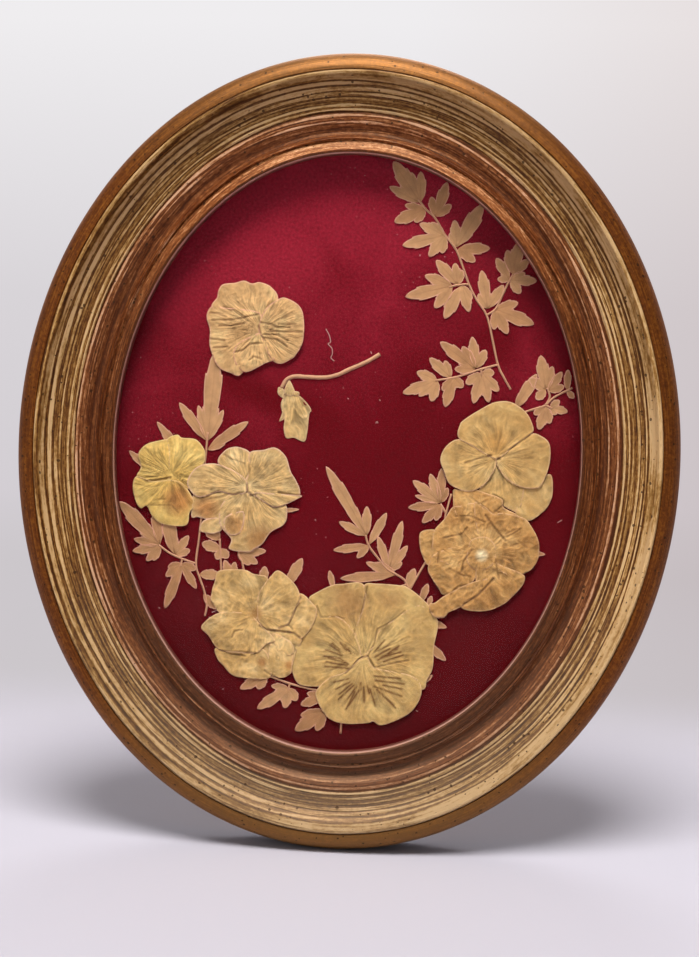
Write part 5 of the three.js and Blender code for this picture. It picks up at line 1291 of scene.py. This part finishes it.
# Lint: pale threads and a few specks of fluff that lie on the velvet under the glass. The specks
# are short threads.
loose_thread, tree, shader = new_finish("pale loose thread", {
    "Base Color": srgb("#b98d84"), "Roughness": 0.9})
bm = bmesh.new()
layers = leaf_layers(bm)
for thread in (
        [(-0.115, 0.42), (-0.1, 0.4), (-0.093, 0.377), (-0.103, 0.37), (-0.086, 0.355), (-0.084, 0.336),
         (-0.089, 0.324), (-0.074, 0.313)],
        [(0.08, 0.349), (0.085, 0.341)], [(0.112, 0.108), (0.117, 0.114), (0.122, 0.109)],
        [(0.124, 0.188), (0.129, 0.185)], [(-0.012, 0.19), (-0.007, 0.187)],
        [(0.9, -0.205), (0.92, -0.195)], [(0.327, -0.858), (0.334, -0.862)],
        [(-0.804, -0.543), (-0.797, -0.547)], [(-0.583, -0.569), (-0.577, -0.572)],
        [(-0.57, -0.553), (-0.55, -0.546), (-0.53, -0.552)]):
    add_stem(bm, layers, [spot(*place) for place in thread], 0.35, VELVET_FRONT + 0.06, crown=0.08)
make_sheet("loose_threads", bm, loose_thread, 0.05)

# Floor and backdrop: one seamless sweep of white paper. It bends up so far behind the frame that
# a view of the frame's back stands in front of it, and past the frame's shadow the paper glows in
# the colour of a lit wall, a little darker to the right and lighter higher up: painted light.
bm = bmesh.new()
FLOOR = -0.1632
BEND_START = 1.1
BEND_RADIUS = 0.3
sweep = [(-4, FLOOR)]
sweep += [(BEND_START + BEND_RADIUS * math.sin(a), FLOOR + BEND_RADIUS * (1 - math.cos(a)))
          for a in [i / 16 * math.pi / 2 for i in range(17)]]
sweep += [(BEND_START + BEND_RADIUS, 2.2)]
line = [bm.verts.new((-4, y, z)) for y, z in sweep]
edges = [bm.edges.new(pair) for pair in zip(line, line[1:])]
dragged = bmesh.ops.extrude_edge_only(bm, edges=edges)
far_side = [v for v in dragged["geom"] if isinstance(v, bmesh.types.BMVert)]
bmesh.ops.translate(bm, verts=far_side, vec=(8, 0, 0))
bmesh.ops.recalc_face_normals(bm, faces=bm.faces)
paper, tree, shader = new_finish("white backdrop paper", {
    "Base Color": srgb("#c0bbc3"), "Roughness": 0.9, "Specular IOR Level": 0.2})
across_out, back_out, height_out = add(tree, "SeparateXYZ", {
    "Vector": add(tree, "TexCoord", out="Object")}).node.outputs
wall_colour = add(tree, "ValToRGB", {
    "Fac": add(tree, "MapRange", {
        "Value": height_out, "From Min": FLOOR, "From Max": FLOOR + 0.8})}, stops=[
    (0.0, srgb("#ccc7cb")), (0.1, srgb("#d3ced3")), (0.45, srgb("#d8d4d8")), (0.95, srgb("#efedef"))])
wall_colour = add(tree, "Mix", {
    "Factor": add(tree, "MapRange", {"Value": across_out, "From Max": 0.45}),
    "A": wall_colour, "B": srgb("#f6f0ee")}, data_type="RGBA", blend_type="MULTIPLY", out="Result")
past_shadow = add(tree, "MapRange", {
    "Value": back_out, "From Min": 0.16, "From Max": 0.4}, interpolation_type="SMOOTHSTEP")
ray = add(tree, "LightPath").node.outputs
seen = ray["Is Camera Ray"]
for kind in ("Is Glossy Ray", "Is Transmission Ray"):
    seen = add(tree, "Math", {0: seen, 1: ray[kind]}, operation="MAXIMUM")
# Painted light: past the shadow the paper glows, for camera, glossy and transmission rays, in the graded wall
# colour.
tree.links.new(add(tree, "MixShader", {
    0: add(tree, "Math", {0: past_shadow, 1: seen}, operation="MULTIPLY"),
    1: shader.outputs[0],
    2: add(tree, "Emission", {"Color": wall_colour, "Strength": 1})}),
    tree.nodes["Material Output"].inputs["Surface"])
mesh = bpy.data.meshes.new("backdrop")
bm.to_mesh(mesh)
bm.free()
mesh.shade_smooth()
mesh.materials.append(paper)
backdrop = bpy.data.objects.new("backdrop", mesh)
bpy.context.scene.collection.objects.link(backdrop)

# Studio light: one large soft lamp above and in front, a weak one at the left, another behind that
# shows the frame's back, and a dim room.
def area_lamp(name, place, target, size, power):
    lamp = bpy.data.lights.new(name, "AREA")
    lamp.shape = "DISK"
    lamp.size = size
    lamp.energy = power
    made = bpy.data.objects.new(name, lamp)
    bpy.context.scene.collection.objects.link(made)
    made.location = place
    made.rotation_mode = "QUATERNION"
    made.rotation_quaternion = (Vector(target) - Vector(place)).to_track_quat("-Z", "Y")


area_lamp("key_lamp", (0, -0.65, 1.25), (0, 0, 0), 0.7, 29)
area_lamp("fill_lamp", (-1.3, -1.0, 0.5), (0, 0, 0), 0.8, 3)
area_lamp("back_lamp", (0, 1.1, 1.3), (0, 0, 0), 0.9, 8)
world = bpy.data.worlds.new("studio")
world.use_nodes = True
bpy.context.scene.world = world
tree = world.node_tree
background = tree.nodes["Background"]
background.inputs["Color"].default_value = (1, 1, 1, 1)
background.inputs["Strength"].default_value = 0.24

bpy.context.scene.view_settings.view_transform = "Standard"
